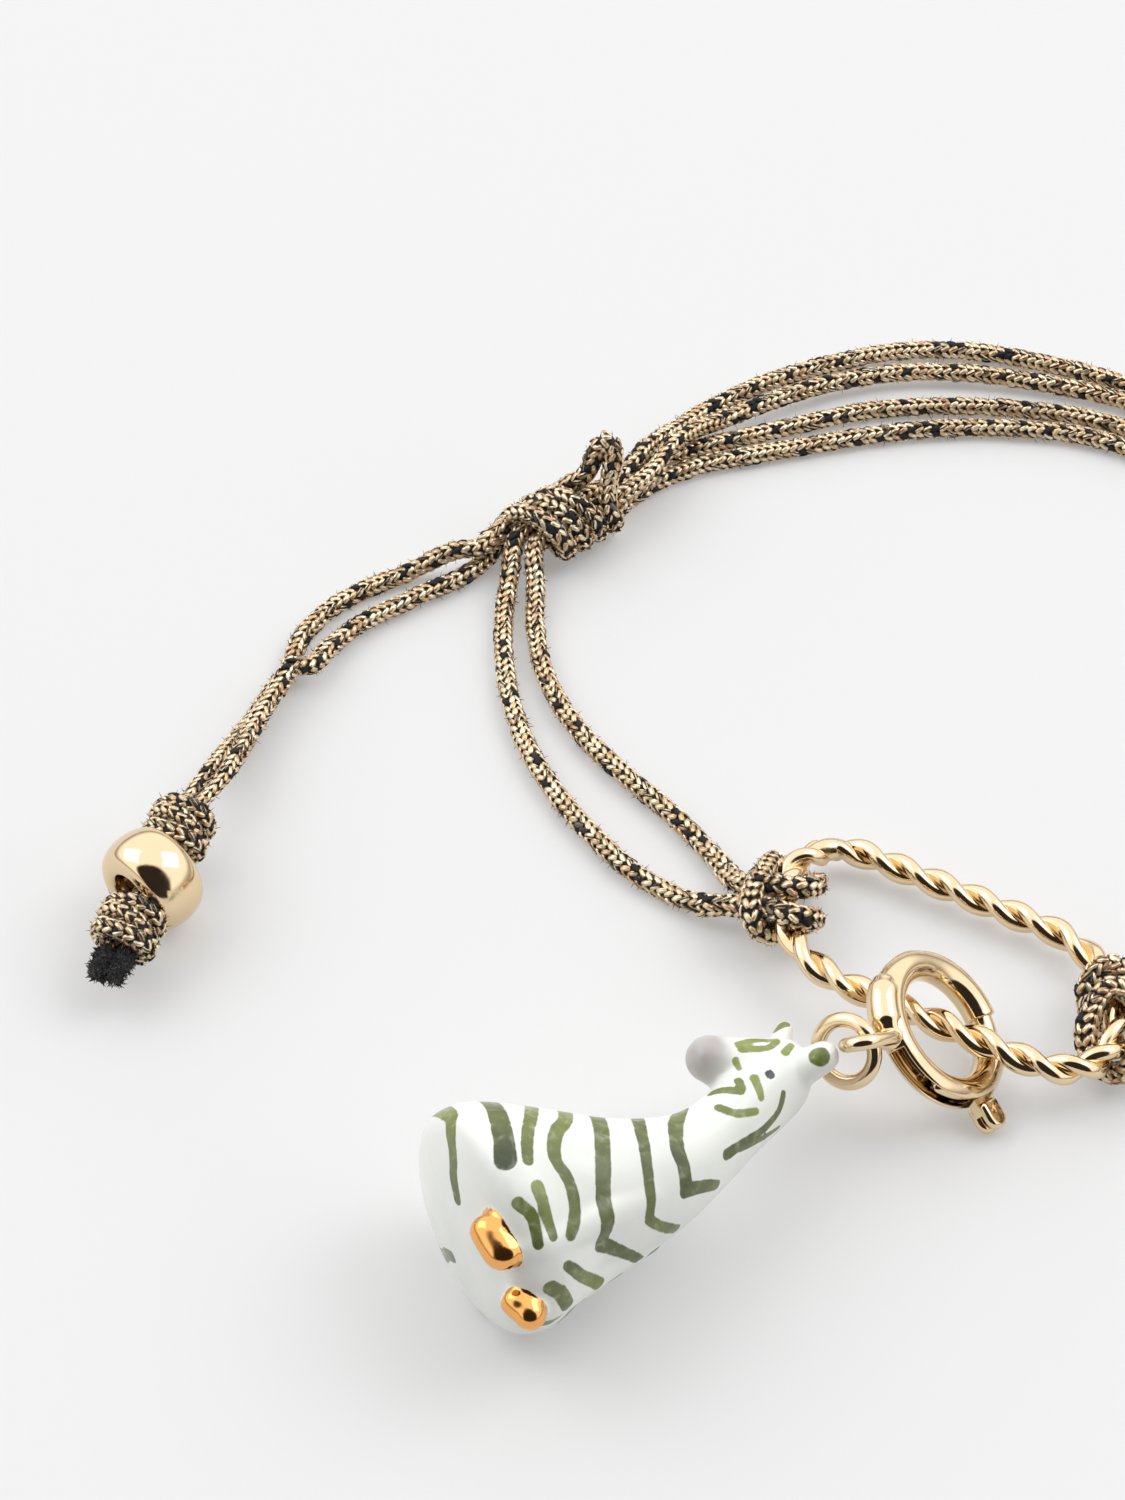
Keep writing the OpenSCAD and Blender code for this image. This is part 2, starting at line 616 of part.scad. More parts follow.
// Bead: a rounded barrel with a wide hole along x.
bead_outline_points = 12;
bead_lip = 0.25;
module bead() {
  wall = (bead_d - bead_hole_d) / 2 - bead_lip;
  color("gold") rotate([0, 90, 0]) rotate_extrude($fn = 48) polygon(concat(
    [[bead_hole_d / 2, 0.2 - bead_length / 2]],
    [for (i = [0:bead_outline_points])
      let (a = 180 * i / bead_outline_points - 90)
      [bead_hole_d / 2 + bead_lip + wall * pow(abs(cos(a)), 0.6), bead_length / 2 * sin(a)]],
    [[bead_hole_d / 2, bead_length / 2 - 0.2]]
  ));
}

// The left bead with its stop knots on either side, and the same on the right. Each bead
// sits a little askew on its cords.
bead_skew = 14;
bead_left_at = [-47.2, -9.15, 2.95];
bead_left_yaw = -107;
bead_right_at = [47.7, -31.4, 2.95];
bead_right_yaw = -80;
stop_before = 4.1;
stop_behind = 3.75;
stop_drop = 0.3;

module bead_left() {
  translate(bead_left_at) rotate([0, 0, bead_left_yaw - bead_skew]) bead();
}

module bead_right() {
  translate(bead_right_at) rotate([0, 0, bead_right_yaw + bead_skew]) bead();
}

module stop_knot_left_a() {
  translate(bead_left_at) rotate([0, 0, bead_left_yaw])
    translate([-stop_before, 0, -stop_drop]) stop_knot();
}

module stop_knot_left_b() {
  translate(bead_left_at) rotate([0, 0, bead_left_yaw])
    translate([stop_behind, 0, -stop_drop]) stop_knot();
}

module stop_knot_right_a() {
  translate(bead_right_at) rotate([0, 0, bead_right_yaw])
    translate([-stop_before, 0, -stop_drop]) stop_knot();
}

module stop_knot_right_b() {
  translate(bead_right_at) rotate([0, 0, bead_right_yaw])
    translate([stop_behind, 0, -stop_drop]) stop_knot();
}

rope_link();
larks_head_left();
larks_head_right();
cord_left_outer();
cord_left_inner();
cord_right_outer();
cord_right_inner();
sliding_knot_left();
sliding_knot_right();
tail_left_upper();
tail_left_lower();
tail_right_upper();
tail_right_lower();
bead_left();
bead_right();
clasp_body();
clasp_bolt();
jump_ring();
charm_eye();
zebra_charm();
stop_knot_left_a();
stop_knot_left_b();
stop_knot_right_a();
stop_knot_right_b();
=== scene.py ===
"""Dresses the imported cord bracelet: knitted cord with its knots, an oval link of twisted
gold wire, a spring ring clasp and a glazed zebra charm, lying on a pale surface.

Sizes are written in millimetres, as in the part's source, and made metres where they are
used. The frame is the part's own: +X along the width, +Y to the back of the loop, +Z up.
"""

import logging
import math
from dataclasses import dataclass, field
from enum import Enum
from typing import Callable, Sequence

import bmesh
import bpy
import numpy as np
from mathutils import Matrix, Vector

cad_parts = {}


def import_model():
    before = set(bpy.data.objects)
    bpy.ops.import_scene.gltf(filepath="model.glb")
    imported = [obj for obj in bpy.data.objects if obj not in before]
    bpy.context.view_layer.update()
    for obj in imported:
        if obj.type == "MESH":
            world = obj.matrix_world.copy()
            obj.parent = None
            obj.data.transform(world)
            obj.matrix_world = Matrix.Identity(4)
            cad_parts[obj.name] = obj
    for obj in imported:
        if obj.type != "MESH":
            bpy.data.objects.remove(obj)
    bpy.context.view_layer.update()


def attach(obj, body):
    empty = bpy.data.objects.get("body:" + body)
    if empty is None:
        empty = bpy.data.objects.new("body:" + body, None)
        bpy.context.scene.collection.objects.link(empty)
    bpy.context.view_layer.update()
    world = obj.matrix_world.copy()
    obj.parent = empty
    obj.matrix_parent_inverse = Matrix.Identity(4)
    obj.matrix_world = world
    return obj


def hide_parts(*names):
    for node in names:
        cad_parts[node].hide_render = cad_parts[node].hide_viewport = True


LOG = logging.getLogger("bracelet")
MM = 0.001
Point = tuple[float, float, float]
Colour = tuple[float, float, float]
Pair = tuple[float, float]


class Body(Enum):
    """The CAD bodies that pieces ride on."""

    BRACELET = "bracelet"
    BOLT = "bolt"


class Slot(Enum):
    """The record's material slots."""

    CORD = "cord"
    GOLD = "gold"
    PORCELAIN = "porcelain"


class NodeSheet:
    """Adds and joins the nodes of one shader or Geometry Nodes tree."""

    def __init__(self, tree: bpy.types.NodeTree) -> None:
        """Starts on a tree."""
        self.tree = tree

    @classmethod
    def geometry(
        cls, name: str, inputs: dict[str, object]
    ) -> tuple["NodeSheet", dict[str, bpy.types.NodeSocket]]:
        """Makes a Geometry Nodes tree with a geometry in and out and named inputs.

        Args:
            name: the tree's name.
            inputs: the named inputs with their first values.

        Returns:
            The sheet of the new tree, and its inputs by name.
        """
        tree = bpy.data.node_groups.new(name, "GeometryNodeTree")
        for way in ("INPUT", "OUTPUT"):
            tree.interface.new_socket("Geometry", in_out=way, socket_type="NodeSocketGeometry")
        kinds = {int: "NodeSocketInt", float: "NodeSocketFloat"}
        for label, value in inputs.items():
            kind = kinds.get(type(value), "NodeSocketMaterial")
            socket = tree.interface.new_socket(label, in_out="INPUT", socket_type=kind)
            socket.default_value = value
        sheet = cls(tree)
        return sheet, {x.name: x for x in sheet.add("NodeGroupInput").outputs}

    def add(
        self, kind: str, inputs: dict[str, object] | None = None, **settings: object
    ) -> bpy.types.Node:
        """Adds a node.

        Args:
            kind: the node's type.
            inputs: values, sockets or nodes for its inputs, by identifier or by name.
            settings: its own properties.

        Returns:
            The new node.
        """
        node = self.tree.nodes.new(kind)
        for name, value in settings.items():
            setattr(node, name, value)
        for key, value in (inputs or {}).items():
            self.put(node, key, value)
        return node

    def put(self, node: bpy.types.Node, key: str, value: object) -> None:
        """Sets or links one input of a node.

        Args:
            node: the node.
            key: the input's identifier or name.
            value: a value, an output socket, or a node whose first shown output is used.
        """
        sockets = [s for s in node.inputs if s.identifier == key]
        sockets = sockets or [s for s in node.inputs if s.name == key and s.enabled]
        if isinstance(value, bpy.types.Node):
            value = next(s for s in value.outputs if s.enabled)
        if isinstance(value, bpy.types.NodeSocket):
            self.tree.links.new(value, sockets[0])
        else:
            sockets[0].default_value = value

    def out(self, node: bpy.types.Node, key: str) -> bpy.types.NodeSocket:
        """Finds an output of a node by identifier or name."""
        found = [s for s in node.outputs if s.identifier == key]
        return (found or [s for s in node.outputs if s.name == key])[0]

    def math(self, operation: str, *values: object, clamp: bool = False) -> bpy.types.Node:
        """Adds a Math node with its inputs in order, clamped to 0 to 1 where asked."""
        inputs = dict(zip(("Value", "Value_001", "Value_002"), values))
        return self.add("ShaderNodeMath", inputs, operation=operation, use_clamp=clamp)

    def swing(self, value: object, amount: float) -> bpy.types.Node:
        """Moves a value from about a half to about zero and multiplies it."""
        return self.math("MULTIPLY", self.math("SUBTRACT", value, 0.5), amount)

    def vector(self, x: object, y: object, z: object) -> bpy.types.Node:
        """Adds a vector made of three values."""
        return self.add("ShaderNodeCombineXYZ", {"X": x, "Y": y, "Z": z})

    def vector_math(self, operation: str, first: object, second: object) -> bpy.types.Node:
        """Adds a Vector Math node; for SCALE its second input is a number."""
        inputs = {"Vector": first, "Scale" if operation == "SCALE" else "Vector_001": second}
        return self.add("ShaderNodeVectorMath", inputs, operation=operation)

    def mix(self, factor: object, first: object, second: object) -> bpy.types.Node:
        """Adds a mix of two colours.

        Args:
            factor: the share of the second one.
            first: a colour or a socket.
            second: a colour or a socket.

        Returns:
            The node.
        """
        inputs = {"Factor_Float": factor}
        for key, value in (("A_Color", first), ("B_Color", second)):
            inputs[key] = (*value, 1.0) if isinstance(value, tuple) else value
        node = self.add("ShaderNodeMix", inputs, data_type="RGBA")
        for socket in node.outputs:
            socket.enabled = socket.identifier == "Result_Color"
        return node

    def noise(self, scale: float, detail: float = 3.0, distortion: float = 0.0) -> bpy.types.Node:
        """Adds noise on the piece's own coordinates.

        Args:
            scale: its scale per metre.
            detail: its octaves.
            distortion: how much it is distorted.

        Returns:
            The node.
        """
        place = self.out(self.add("ShaderNodeTexCoord"), "Object")
        inputs = {"Vector": place, "Scale": scale, "Detail": detail, "Distortion": distortion}
        return self.add("ShaderNodeTexNoise", inputs)

    def span(
        self, value: object, low: float, high: float, to_low: float = 0.0, to_high: float = 1.0
    ) -> bpy.types.Node:
        """Adds a smooth, clamped change of range.

        Args:
            value: what is changed.
            low: the value that gives to_low.
            high: the value that gives to_high.
            to_low: the first end of the result.
            to_high: the second end of the result.

        Returns:
            The node.
        """
        ends = {"From Min": low, "From Max": high, "To Min": to_low, "To Max": to_high}
        inputs = {"Value": value, **ends}
        return self.add("ShaderNodeMapRange", inputs, interpolation_type="SMOOTHSTEP")

    def attribute(self, name: str, output: str = "Fac") -> bpy.types.NodeSocket:
        """Adds a shader's reader of one of the piece's attributes."""
        return self.out(self.add("ShaderNodeAttribute", attribute_name=name), output)

    def field(self, name: str) -> bpy.types.Node:
        """Adds a geometry tree's reader of a number that is stored on its points."""
        return self.add("GeometryNodeInputNamedAttribute", {"Name": name}, data_type="FLOAT")

    def store(
        self, geometry: object, name: str, value: object, domain: str, kind: str = "FLOAT"
    ) -> bpy.types.Node:
        """Adds a named attribute to a geometry.

        Args:
            geometry: the geometry.
            name: the attribute's name.
            value: its value.
            domain: what it is stored on.
            kind: its data type.

        Returns:
            The node.
        """
        inputs = {"Geometry": geometry, "Name": name, "Value": value}
        return self.add(
            "GeometryNodeStoreNamedAttribute", inputs, data_type=kind, domain=domain
        )

    def random(
        self, low: object, high: object, seed: object, number: object = None
    ) -> bpy.types.Node:
        """Adds a random number, or a random vector between two of them.

        Args:
            low: the least value.
            high: the greatest value.
            seed: the seed.
            number: what each draw is made for; the index if left out.

        Returns:
            The node.
        """
        wide = isinstance(low, tuple)
        inputs = {"Min" if wide else "Min_001": low, "Max" if wide else "Max_001": high}
        inputs["Seed"] = seed
        if number is not None:
            inputs["ID"] = number
        kind = "FLOAT_VECTOR" if wide else "FLOAT"
        return self.add("FunctionNodeRandomValue", inputs, data_type=kind)

    def join(self, *parts: object) -> bpy.types.Node:
        """Adds a Join Geometry node.

        Args:
            parts: the geometries in order.

        Returns:
            The node.
        """
        whole = self.add("GeometryNodeJoinGeometry")
        for part in parts:
            self.put(whole, "Geometry", part)
        return whole

    def turned(self, rotation: object, by: object) -> bpy.types.Node:
        """Adds a turn of a rotation about its own axes."""
        inputs = {"Rotation": rotation, "Rotate By": by}
        return self.add("FunctionNodeRotateRotation", inputs, rotation_space="LOCAL")

    def unevenness(self, scale: float, detail: float, amount: object) -> bpy.types.Node:
        """Adds a vector of noise at each point.

        Args:
            scale: the noise's scale per metre.
            detail: its octaves.
            amount: how far it reaches, in metres.

        Returns:
            The node.
        """
        place = self.add("GeometryNodeInputPosition")
        inputs = {"Vector": place, "Scale": scale, "Detail": detail}
        noise = self.out(self.add("ShaderNodeTexNoise", inputs), "Color")
        return self.vector_math("SCALE", self.vector_math("SUBTRACT", noise, (0.5,) * 3), amount)

    def fibres(
        self, base: object, g: dict[str, bpy.types.NodeSocket], cone: dict[str, object],
        lean: float, stretch: Pair | None = None,
    ) -> bpy.types.Node:
        """Adds short fibres that stand out of a surface.

        Args:
            base: the surface.
            g: the tree's inputs, with the fibres' length and density and the seed.
            cone: the inputs of a fibre's cone but its length.
            lean: how far a fibre leans at most, in radians.
            stretch: the range of the fibres' lengths; all alike if left out.

        Returns:
            The node that holds them as instances.
        """
        inputs = {"Mesh": base, "Density": g["Fibre Density"], "Seed": g["Seed"]}
        spots = self.add("GeometryNodeDistributePointsOnFaces", inputs)
        inputs = {**cone, "Depth": g["Fibre Length"]}
        fibre = self.add("GeometryNodeMeshCone", inputs, fill_type="NGON")
        tilt = self.random((-lean,) * 3, (lean,) * 3, g["Seed"])
        tilt = self.add("FunctionNodeEulerToRotation", {"Euler": tilt})
        rotation = self.turned(self.out(spots, "Rotation"), tilt)
        inputs = {"Points": self.out(spots, "Points"), "Instance": fibre, "Rotation": rotation}
        if stretch:
            inputs["Scale"] = self.vector(1.0, 1.0, self.random(*stretch, g["Seed"]))
        return self.add("GeometryNodeInstanceOnPoints", inputs)


class MaterialSheet(NodeSheet):
    """The nodes of one material."""

    def __init__(self, name: str) -> None:
        """Makes the material.

        Args:
            name: its name.
        """
        self.material = bpy.data.materials.new(name)
        self.material.use_nodes = True
        super().__init__(self.material.node_tree)

    def dressed(
        self, inputs: dict[str, object], height: object, strength: float, depth: float
    ) -> bpy.types.Material:
        """Sets the main shader's inputs and a bump.

        Args:
            inputs: values, sockets or nodes by the input's name.
            height: what drives the bump.
            strength: the bump's strength.
            depth: its depth, in millimetres.

        Returns:
            The material.
        """
        bump = {"Height": height, "Strength": strength, "Distance": depth * MM}
        for key, value in {**inputs, "Normal": self.add("ShaderNodeBump", bump)}.items():
            self.put(self.tree.nodes["Principled BSDF"], key, value)
        return self.material


@dataclass(frozen=True)
class ThreadFinish:
    """Knitted legs: a strand of pale gold and copper foil between dark yarn."""

    metal: tuple[tuple[float, Colour], ...] = (
        (0.05, (0.45, 0.26, 0.14)), (0.4, (0.78, 0.56, 0.33)), (0.85, (1.0, 0.87, 0.63)),
    )
    dark: Colour = (0.010, 0.010, 0.012)
    metallic: float = 0.8
    roughness: Pair = (0.8, 0.3)
    foil_across: Pair = (0.92, 1.1)
    foil_along: Pair = (1.0, 1.2)
    fuzz: float = 0.5
    dark_from: Pair = (0.92, 0.93)
    strands: float = 4.0
    strand_dark_from: Pair = (0.86, 0.88)
    tone_spread: float = 97.0
    grooves: float = 15.0
    streak: float = 0.8
    shade_shares: Pair = (0.5, 0.7)
    fuzz_scale: float = 5200.0
    streak_scale: float = 3000.0
    relief: Pair = (0.35, 0.02)

    def build(self) -> bpy.types.Material:
        """Makes the material; it reads the legs' own coordinates and a random tone."""
        s = MaterialSheet("knit_thread")
        leg = s.add("ShaderNodeSeparateXYZ", {"Vector": s.attribute("leg", "Vector")})
        along, across = s.out(leg, "X"), s.out(leg, "Y")
        tone = s.attribute("tone")
        fuzz = s.math("MULTIPLY", s.noise(self.fuzz_scale, 2.0), self.fuzz)
        strand = s.math("MULTIPLY", s.math("ADD", across, 1.0), self.strands / 2)
        draw = s.vector(s.math("FLOOR", strand), s.math("MULTIPLY", tone, self.tone_spread), 0.0)
        chance = s.out(s.add("ShaderNodeTexWhiteNoise", {"Vector": draw}), "Value")
        foil = 1.0
        for value, ends in (
            (s.math("ADD", s.math("ABSOLUTE", across), fuzz), self.foil_across),
            (s.math("ADD", s.math("ABSOLUTE", along), fuzz), self.foil_along),
            (tone, self.dark_from), (chance, self.strand_dark_from),
        ):
            foil = s.math("MULTIPLY", foil, s.span(value, *ends, 1.0, 0.0))
        by_leg, by_strand = (
            s.math("MULTIPLY", draw, part) for draw, part in zip((tone, chance), self.shade_shares)
        )
        shade = s.math("ADD", by_leg, by_strand)
        streaks = s.swing(s.noise(self.streak_scale, 2.0), self.streak)
        shade = s.math("ADD", shade, streaks, clamp=True)
        ramp = s.add("ShaderNodeValToRGB", {"Fac": shade})
        ramp.color_ramp.elements.new(0.5)
        for mark, (place, colour) in zip(ramp.color_ramp.elements, self.metal):
            mark.position, mark.color = place, (*colour, 1.0)
        inputs = {
            "Base Color": s.mix(foil, self.dark, ramp),
            "Metallic": s.math("MULTIPLY", foil, self.metallic),
            "Roughness": s.span(foil, 0.0, 1.0, *self.roughness),
        }
        grooves = s.math("SINE", s.math("MULTIPLY", across, self.grooves))
        return s.dressed(inputs, grooves, *self.relief)


@dataclass(frozen=True)
class YarnFinish:
    """Dark yarn under and between the knitted legs, and the frayed ends."""

    colour: Colour = (0.010, 0.010, 0.012)
    faded: Colour = (0.035, 0.034, 0.036)
    roughness: float = 0.85
    sheen: float = 0.15
    grain_scale: float = 9000.0
    relief: Pair = (0.6, 0.03)

    def build(self) -> bpy.types.Material:
        """Makes the material: dark fibres with a slight sheen."""
        s = MaterialSheet("dark_yarn")
        grain = s.noise(self.grain_scale, 4.0)
        inputs = {
            "Base Color": s.mix(s.span(grain, 0.35, 0.7), self.colour, self.faded),
            "Roughness": self.roughness, "Sheen Weight": self.sheen,
        }
        return s.dressed(inputs, grain, *self.relief)


@dataclass(frozen=True)
class PlateFinish:
    """Polished plate in a pale warm gold, with faint wipe marks and pits."""

    name: str = "gold_plate"
    colour: Colour = (0.80, 0.63, 0.41)
    deep: Colour = (0.83, 0.64, 0.40)
    roughness: Pair = (0.07, 0.15)
    pit_scale: float = 1700.0
    pit_depth: float = 0.02
    pit_strength: float = 0.25
    wipe_scale: float = 420.0
    wipe_from: Pair = (0.4, 0.65)

    def build(self) -> bpy.types.Material:
        """Makes the material."""
        s = MaterialSheet(self.name)
        pits = s.noise(self.pit_scale, 3.0)
        wipes = s.span(s.noise(self.wipe_scale, 4.0), *self.wipe_from)
        inputs = {
            "Base Color": s.mix(wipes, self.colour, self.deep),
            "Metallic": 1.0, "Roughness": s.span(pits, 0.35, 0.75, *self.roughness),
        }
        return s.dressed(inputs, pits, self.pit_strength, self.pit_depth)


@dataclass(frozen=True)
class GlazeFinish:
    """Glazed white ceramic with brushed green stripes, gold hooves and a grey muzzle."""

    white: Colour = (0.86, 0.87, 0.83)
    cool: Colour = (0.79, 0.82, 0.77)
    pale_green: Colour = (0.24, 0.29, 0.05)
    deep_green: Colour = (0.030, 0.044, 0.005)
    grey: Colour = (0.40, 0.36, 0.35)
    ink: Colour = (0.03, 0.04, 0.045)
    lustre: Colour = (0.86, 0.42, 0.12)
    roughness: Pair = (0.34, 0.14)
    ragged: float = 0.55
    clouds: float = 0.7
    cover: Pair = (0.35, 0.68)
    stripe_cover: Pair = (0.78, 0.97)
    muzzle_cover: Pair = (0.55, 1.0)
    brush_scale: float = 1500.0
    wash_scale: float = 330.0
    relief: Pair = (0.2, 0.12)

    def build(self) -> bpy.types.Material:
        """Makes the material; it reads what the painter left on the surface."""
        s = MaterialSheet("painted_glaze")
        brush, wash = s.noise(self.brush_scale, 4.0, 0.6), s.noise(self.wash_scale, 3.0)
        ragged = s.swing(brush, self.ragged)
        stripe, ink, lustre = (
            s.span(s.math("ADD", s.attribute(name), ragged), *self.cover)
            for name in ("stripe", "ink", "lustre")
        )
        tone = s.math("ADD", s.attribute("stripe_tone"), ragged, clamp=True)
        tone = s.math("ADD", tone, s.swing(wash, self.clouds), clamp=True)
        green = s.mix(tone, self.pale_green, self.deep_green)
        stripe = s.math("MULTIPLY", stripe, s.span(brush, 0.2, 0.5, *self.stripe_cover))
        muzzle = s.span(wash, 0.2, 0.7, *self.muzzle_cover)
        muzzle = s.math("MULTIPLY", s.attribute("muzzle"), muzzle)
        colour = s.mix(s.span(wash, 0.35, 0.7), self.white, self.cool)
        paints = ((stripe, green), (muzzle, self.grey), (ink, self.ink), (lustre, self.lustre))
        for share, paint in paints:
            colour = s.mix(share, colour, paint)
        inputs = {
            "Base Color": colour, "Metallic": lustre,
            "Roughness": s.span(lustre, 0.0, 1.0, *self.roughness),
            "Subsurface Weight": 0.12, "Subsurface Radius": (1.0, 1.0, 0.9),
            "Subsurface Scale": 0.8 * MM, "Specular IOR Level": 0.35,
            "Coat Weight": 0.3, "Coat Roughness": 0.1,
        }
        return s.dressed(inputs, wash, *self.relief)


@dataclass(frozen=True)
class PaperFinish:
    """Pale matt surface under the bracelet; it glows a little, painted light that lifts the shadows
    cast on it.
    """

    colour: Colour = (0.53, 0.53, 0.532)
    shade: Colour = (0.525, 0.525, 0.528)
    # Painted light: the paper's even glow lightens the shadows cast on it.
    shadow_lifting_glow: float = 0.25
    roughness: float = 0.7
    cloud_scale: float = 9.0
    grain_scale: float = 2500.0
    relief: Pair = (0.08, 0.02)

    def build(self) -> bpy.types.Material:
        """Makes the material."""
        s = MaterialSheet("pale_paper")
        inputs = {
            "Base Color": s.mix(s.noise(self.cloud_scale, 2.0), self.colour, self.shade),
            "Roughness": self.roughness,
            # Painted light: a faint white glow over the whole paper, lifting the shadows on it.
            "Emission Color": (1.0, 1.0, 1.0, 1.0), "Emission Strength": self.shadow_lifting_glow,
        }
        return s.dressed(inputs, s.noise(self.grain_scale, 3.0), *self.relief)


class Finishes:
    """All finishes, each made once."""

    def __init__(self) -> None:
        """Makes the materials."""
        self.thread = ThreadFinish().build()
        self.yarn = YarnFinish().build()
        self.plate = PlateFinish().build()
        self.solder = PlateFinish(
            "soldered_plate", roughness=(0.14, 0.3), pit_scale=2600.0, pit_depth=0.05
        ).build()
        self.glaze = GlazeFinish().build()
        self.paper = PaperFinish().build()


def turn(angle: float, axis: str) -> Matrix:
    """A turn about one axis, in degrees."""
    return Matrix.Rotation(math.radians(angle), 4, axis)


def shift(x: float, y: float, z: float) -> Matrix:
    """A shift by millimetres."""
    return Matrix.Translation((x, y, z))


def placed(points: Sequence[Point], frame: Matrix) -> list[Point]:
    """Points of a sub-assembly's frame in the part's frame."""
    return [tuple(frame @ Vector(p)) for p in points]


def path_length(path: np.ndarray) -> float:
    """Length of a path, in its points' unit."""
    return float(np.linalg.norm(np.diff(path, axis=0), axis=1).sum())


def smooth_path(route: Sequence[Sequence[float]], steps: int) -> np.ndarray:
    """Smooth curve through all route points.

    Args:
        route: the route's points.
        steps: pieces between each two of them.

    Returns:
        The curve's points, one a row.
    """
    rows = np.array(route, float)
    padded = np.vstack([rows[:1], rows, rows[-1:]])
    share = np.linspace(0.0, 1.0, steps, endpoint=False)[:, None]
    parts = []
    for a, b, c, d in zip(padded, padded[1:], padded[2:], padded[3:]):
        parts.append(
            (2 * b + (c - a) * share + (2 * a - 5 * b + 4 * c - d) * share**2
             + (3 * b - a - 3 * c + d) * share**3) / 2
        )
    return np.vstack([*parts, rows[-1:]])


def linked(name: str, data: bpy.types.ID) -> bpy.types.Object:
    """Puts an object with this data in the scene.

    Args:
        name: its name.
        data: its mesh, camera or light.

    Returns:
        The object, at the origin.
    """
    made = bpy.data.objects.new(name, data)
    bpy.context.scene.collection.objects.link(made)
    return made


def object_from(
    name: str, points: Sequence[Sequence[float]], faces: Sequence[Sequence[int]],
    material: bpy.types.Material | None = None, edges: Sequence[tuple[int, int]] = (),
) -> bpy.types.Object:
    """Makes an object with a mesh in the scene.

    Args:
        name: its name.
        points: its points, in millimetres.
        faces: its faces.
        material: its finish.
        edges: its loose edges.

    Returns:
        The object, at the origin.
    """
    mesh = bpy.data.meshes.new(name)
    metres = [tuple(float(c) * MM for c in p) for p in points]
    mesh.from_pydata(metres, list(edges), [list(f) for f in faces])
    mesh.update()
    if material:
        mesh.materials.append(material)
    return linked(name, mesh)


def line_object(
    name: str, points: Sequence[Sequence[float]], **values: Sequence[float]
) -> bpy.types.Object:
    """Makes a line in the scene, which a Geometry Nodes tree follows.

    Args:
        name: its name.
        points: its points, in millimetres.
        values: numbers to store on the points, by the attribute's name.

    Returns:
        The line.
    """
    made = object_from(name, points, [], edges=[(i, i + 1) for i in range(len(points) - 1)])
    for key, numbers in values.items():
        made.data.attributes.new(key, "FLOAT", "POINT").data.foreach_set("value", numbers)
    return made


def modify(piece: bpy.types.Object, kind: str, **settings: object) -> None:
    """Adds a modifier.

    Args:
        piece: the object.
        kind: the modifier's type.
        settings: its properties.
    """
    made = piece.modifiers.new(kind.lower(), kind)
    for name, value in settings.items():
        setattr(made, name, value)


def flattened(maker: bpy.types.Object, name: str) -> bpy.types.Object:
    """Turns an object with modifiers into one with a plain mesh.

    Args:
        maker: the object with its modifiers; it is removed.
        name: the name of the plain one.

    Returns:
        The plain object, at the origin.
    """
    graph = bpy.context.evaluated_depsgraph_get()
    mesh = bpy.data.meshes.new_from_object(
        maker.evaluated_get(graph), preserve_all_data_layers=True, depsgraph=graph
    )
    old = maker.data
    bpy.data.objects.remove(maker)
    bpy.data.meshes.remove(old)
    mesh.name = name
    return linked(name, mesh)


def with_tree(
    maker: bpy.types.Object, tree: bpy.types.GeometryNodeTree, inputs: dict[str, object], name: str
) -> bpy.types.Object:
    """Runs a Geometry Nodes tree on an object and keeps the result as a plain mesh.

    Args:
        maker: the object that the tree starts from; it is removed.
        tree: the tree.
        inputs: its named inputs.
        name: the name of the result.

    Returns:
        The plain object.
    """
    modifier = maker.modifiers.new(tree.name, "NODES")
    modifier.node_group = tree
    for item in tree.interface.items_tree:
        if item.in_out == "INPUT" and item.name in inputs:
            modifier[item.identifier] = inputs[item.name]
    return flattened(maker, name)


def joined(name: str, *parts: bpy.types.Object) -> bpy.types.Object:
    """Joins plain objects at the origin into one.

    Args:
        name: the name of the whole.
        parts: the objects; they are removed.

    Returns:
        The joined object.
    """
    with bpy.context.temp_override(
        active_object=parts[0], object=parts[0],
        selected_objects=list(parts), selected_editable_objects=list(parts),
    ):
        bpy.ops.object.join()
    parts[0].name = parts[0].data.name = name
    return parts[0]


def place(piece: bpy.types.Object, frame: Matrix) -> bpy.types.Object:
    """Moves a piece's mesh by a frame that is in millimetres.

    Args:
        piece: the piece.
        frame: the frame.

    Returns:
        The piece.
    """
    metres = frame.copy()
    metres.translation = frame.translation * MM
    piece.data.transform(metres)
    return piece


def finish_piece(piece: bpy.types.Object, body: Body, slot: Slot, *nodes: str) -> None:
    """Tells the frame what a piece rides on and stands for.

    Args:
        piece: the piece.
        body: the body that it moves with.
        slot: the record's material slot for the piece; not used.
        nodes: the CAD nodes that it replaces.
    """
    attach(piece, body.value)
    if nodes:
        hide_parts(*nodes)
    LOG.info("%s: %d faces, for %s", piece.name, len(piece.data.polygons), ", ".join(nodes))


def skin(
    name: str, rings: Sequence[Sequence[Sequence[float]]], closed: bool = False,
    material: bpy.types.Material | None = None,
) -> bpy.types.Object:
    """Smooth skin over rings of points, with its doubles merged and its faces outwards.

    Args:
        name: the object's name.
        rings: the rings, each with as many points as the others.
        closed: whether the last ring joins the first; both are capped if not.
        material: its finish.

    Returns:
        The object.
    """
    count, around = len(rings), len(rings[0])
    faces = [
        (i * around + k, i * around + (k + 1) % around,
         (i + 1) % count * around + (k + 1) % around, (i + 1) % count * around + k)
        for i in range(count if closed else count - 1) for k in range(around)
    ]
    if not closed:
        faces.append(tuple(range(around - 1, -1, -1)))
        faces.append(tuple((count - 1) * around + k for k in range(around)))
    made = object_from(name, np.vstack(rings), faces, material)
    shape = bmesh.new()
    shape.from_mesh(made.data)
    bmesh.ops.remove_doubles(shape, verts=shape.verts, dist=0.0001 * MM)
    bmesh.ops.recalc_face_normals(shape, faces=shape.faces)
    shape.to_mesh(made.data)
    shape.free()
    made.data.shade_smooth()
    return made


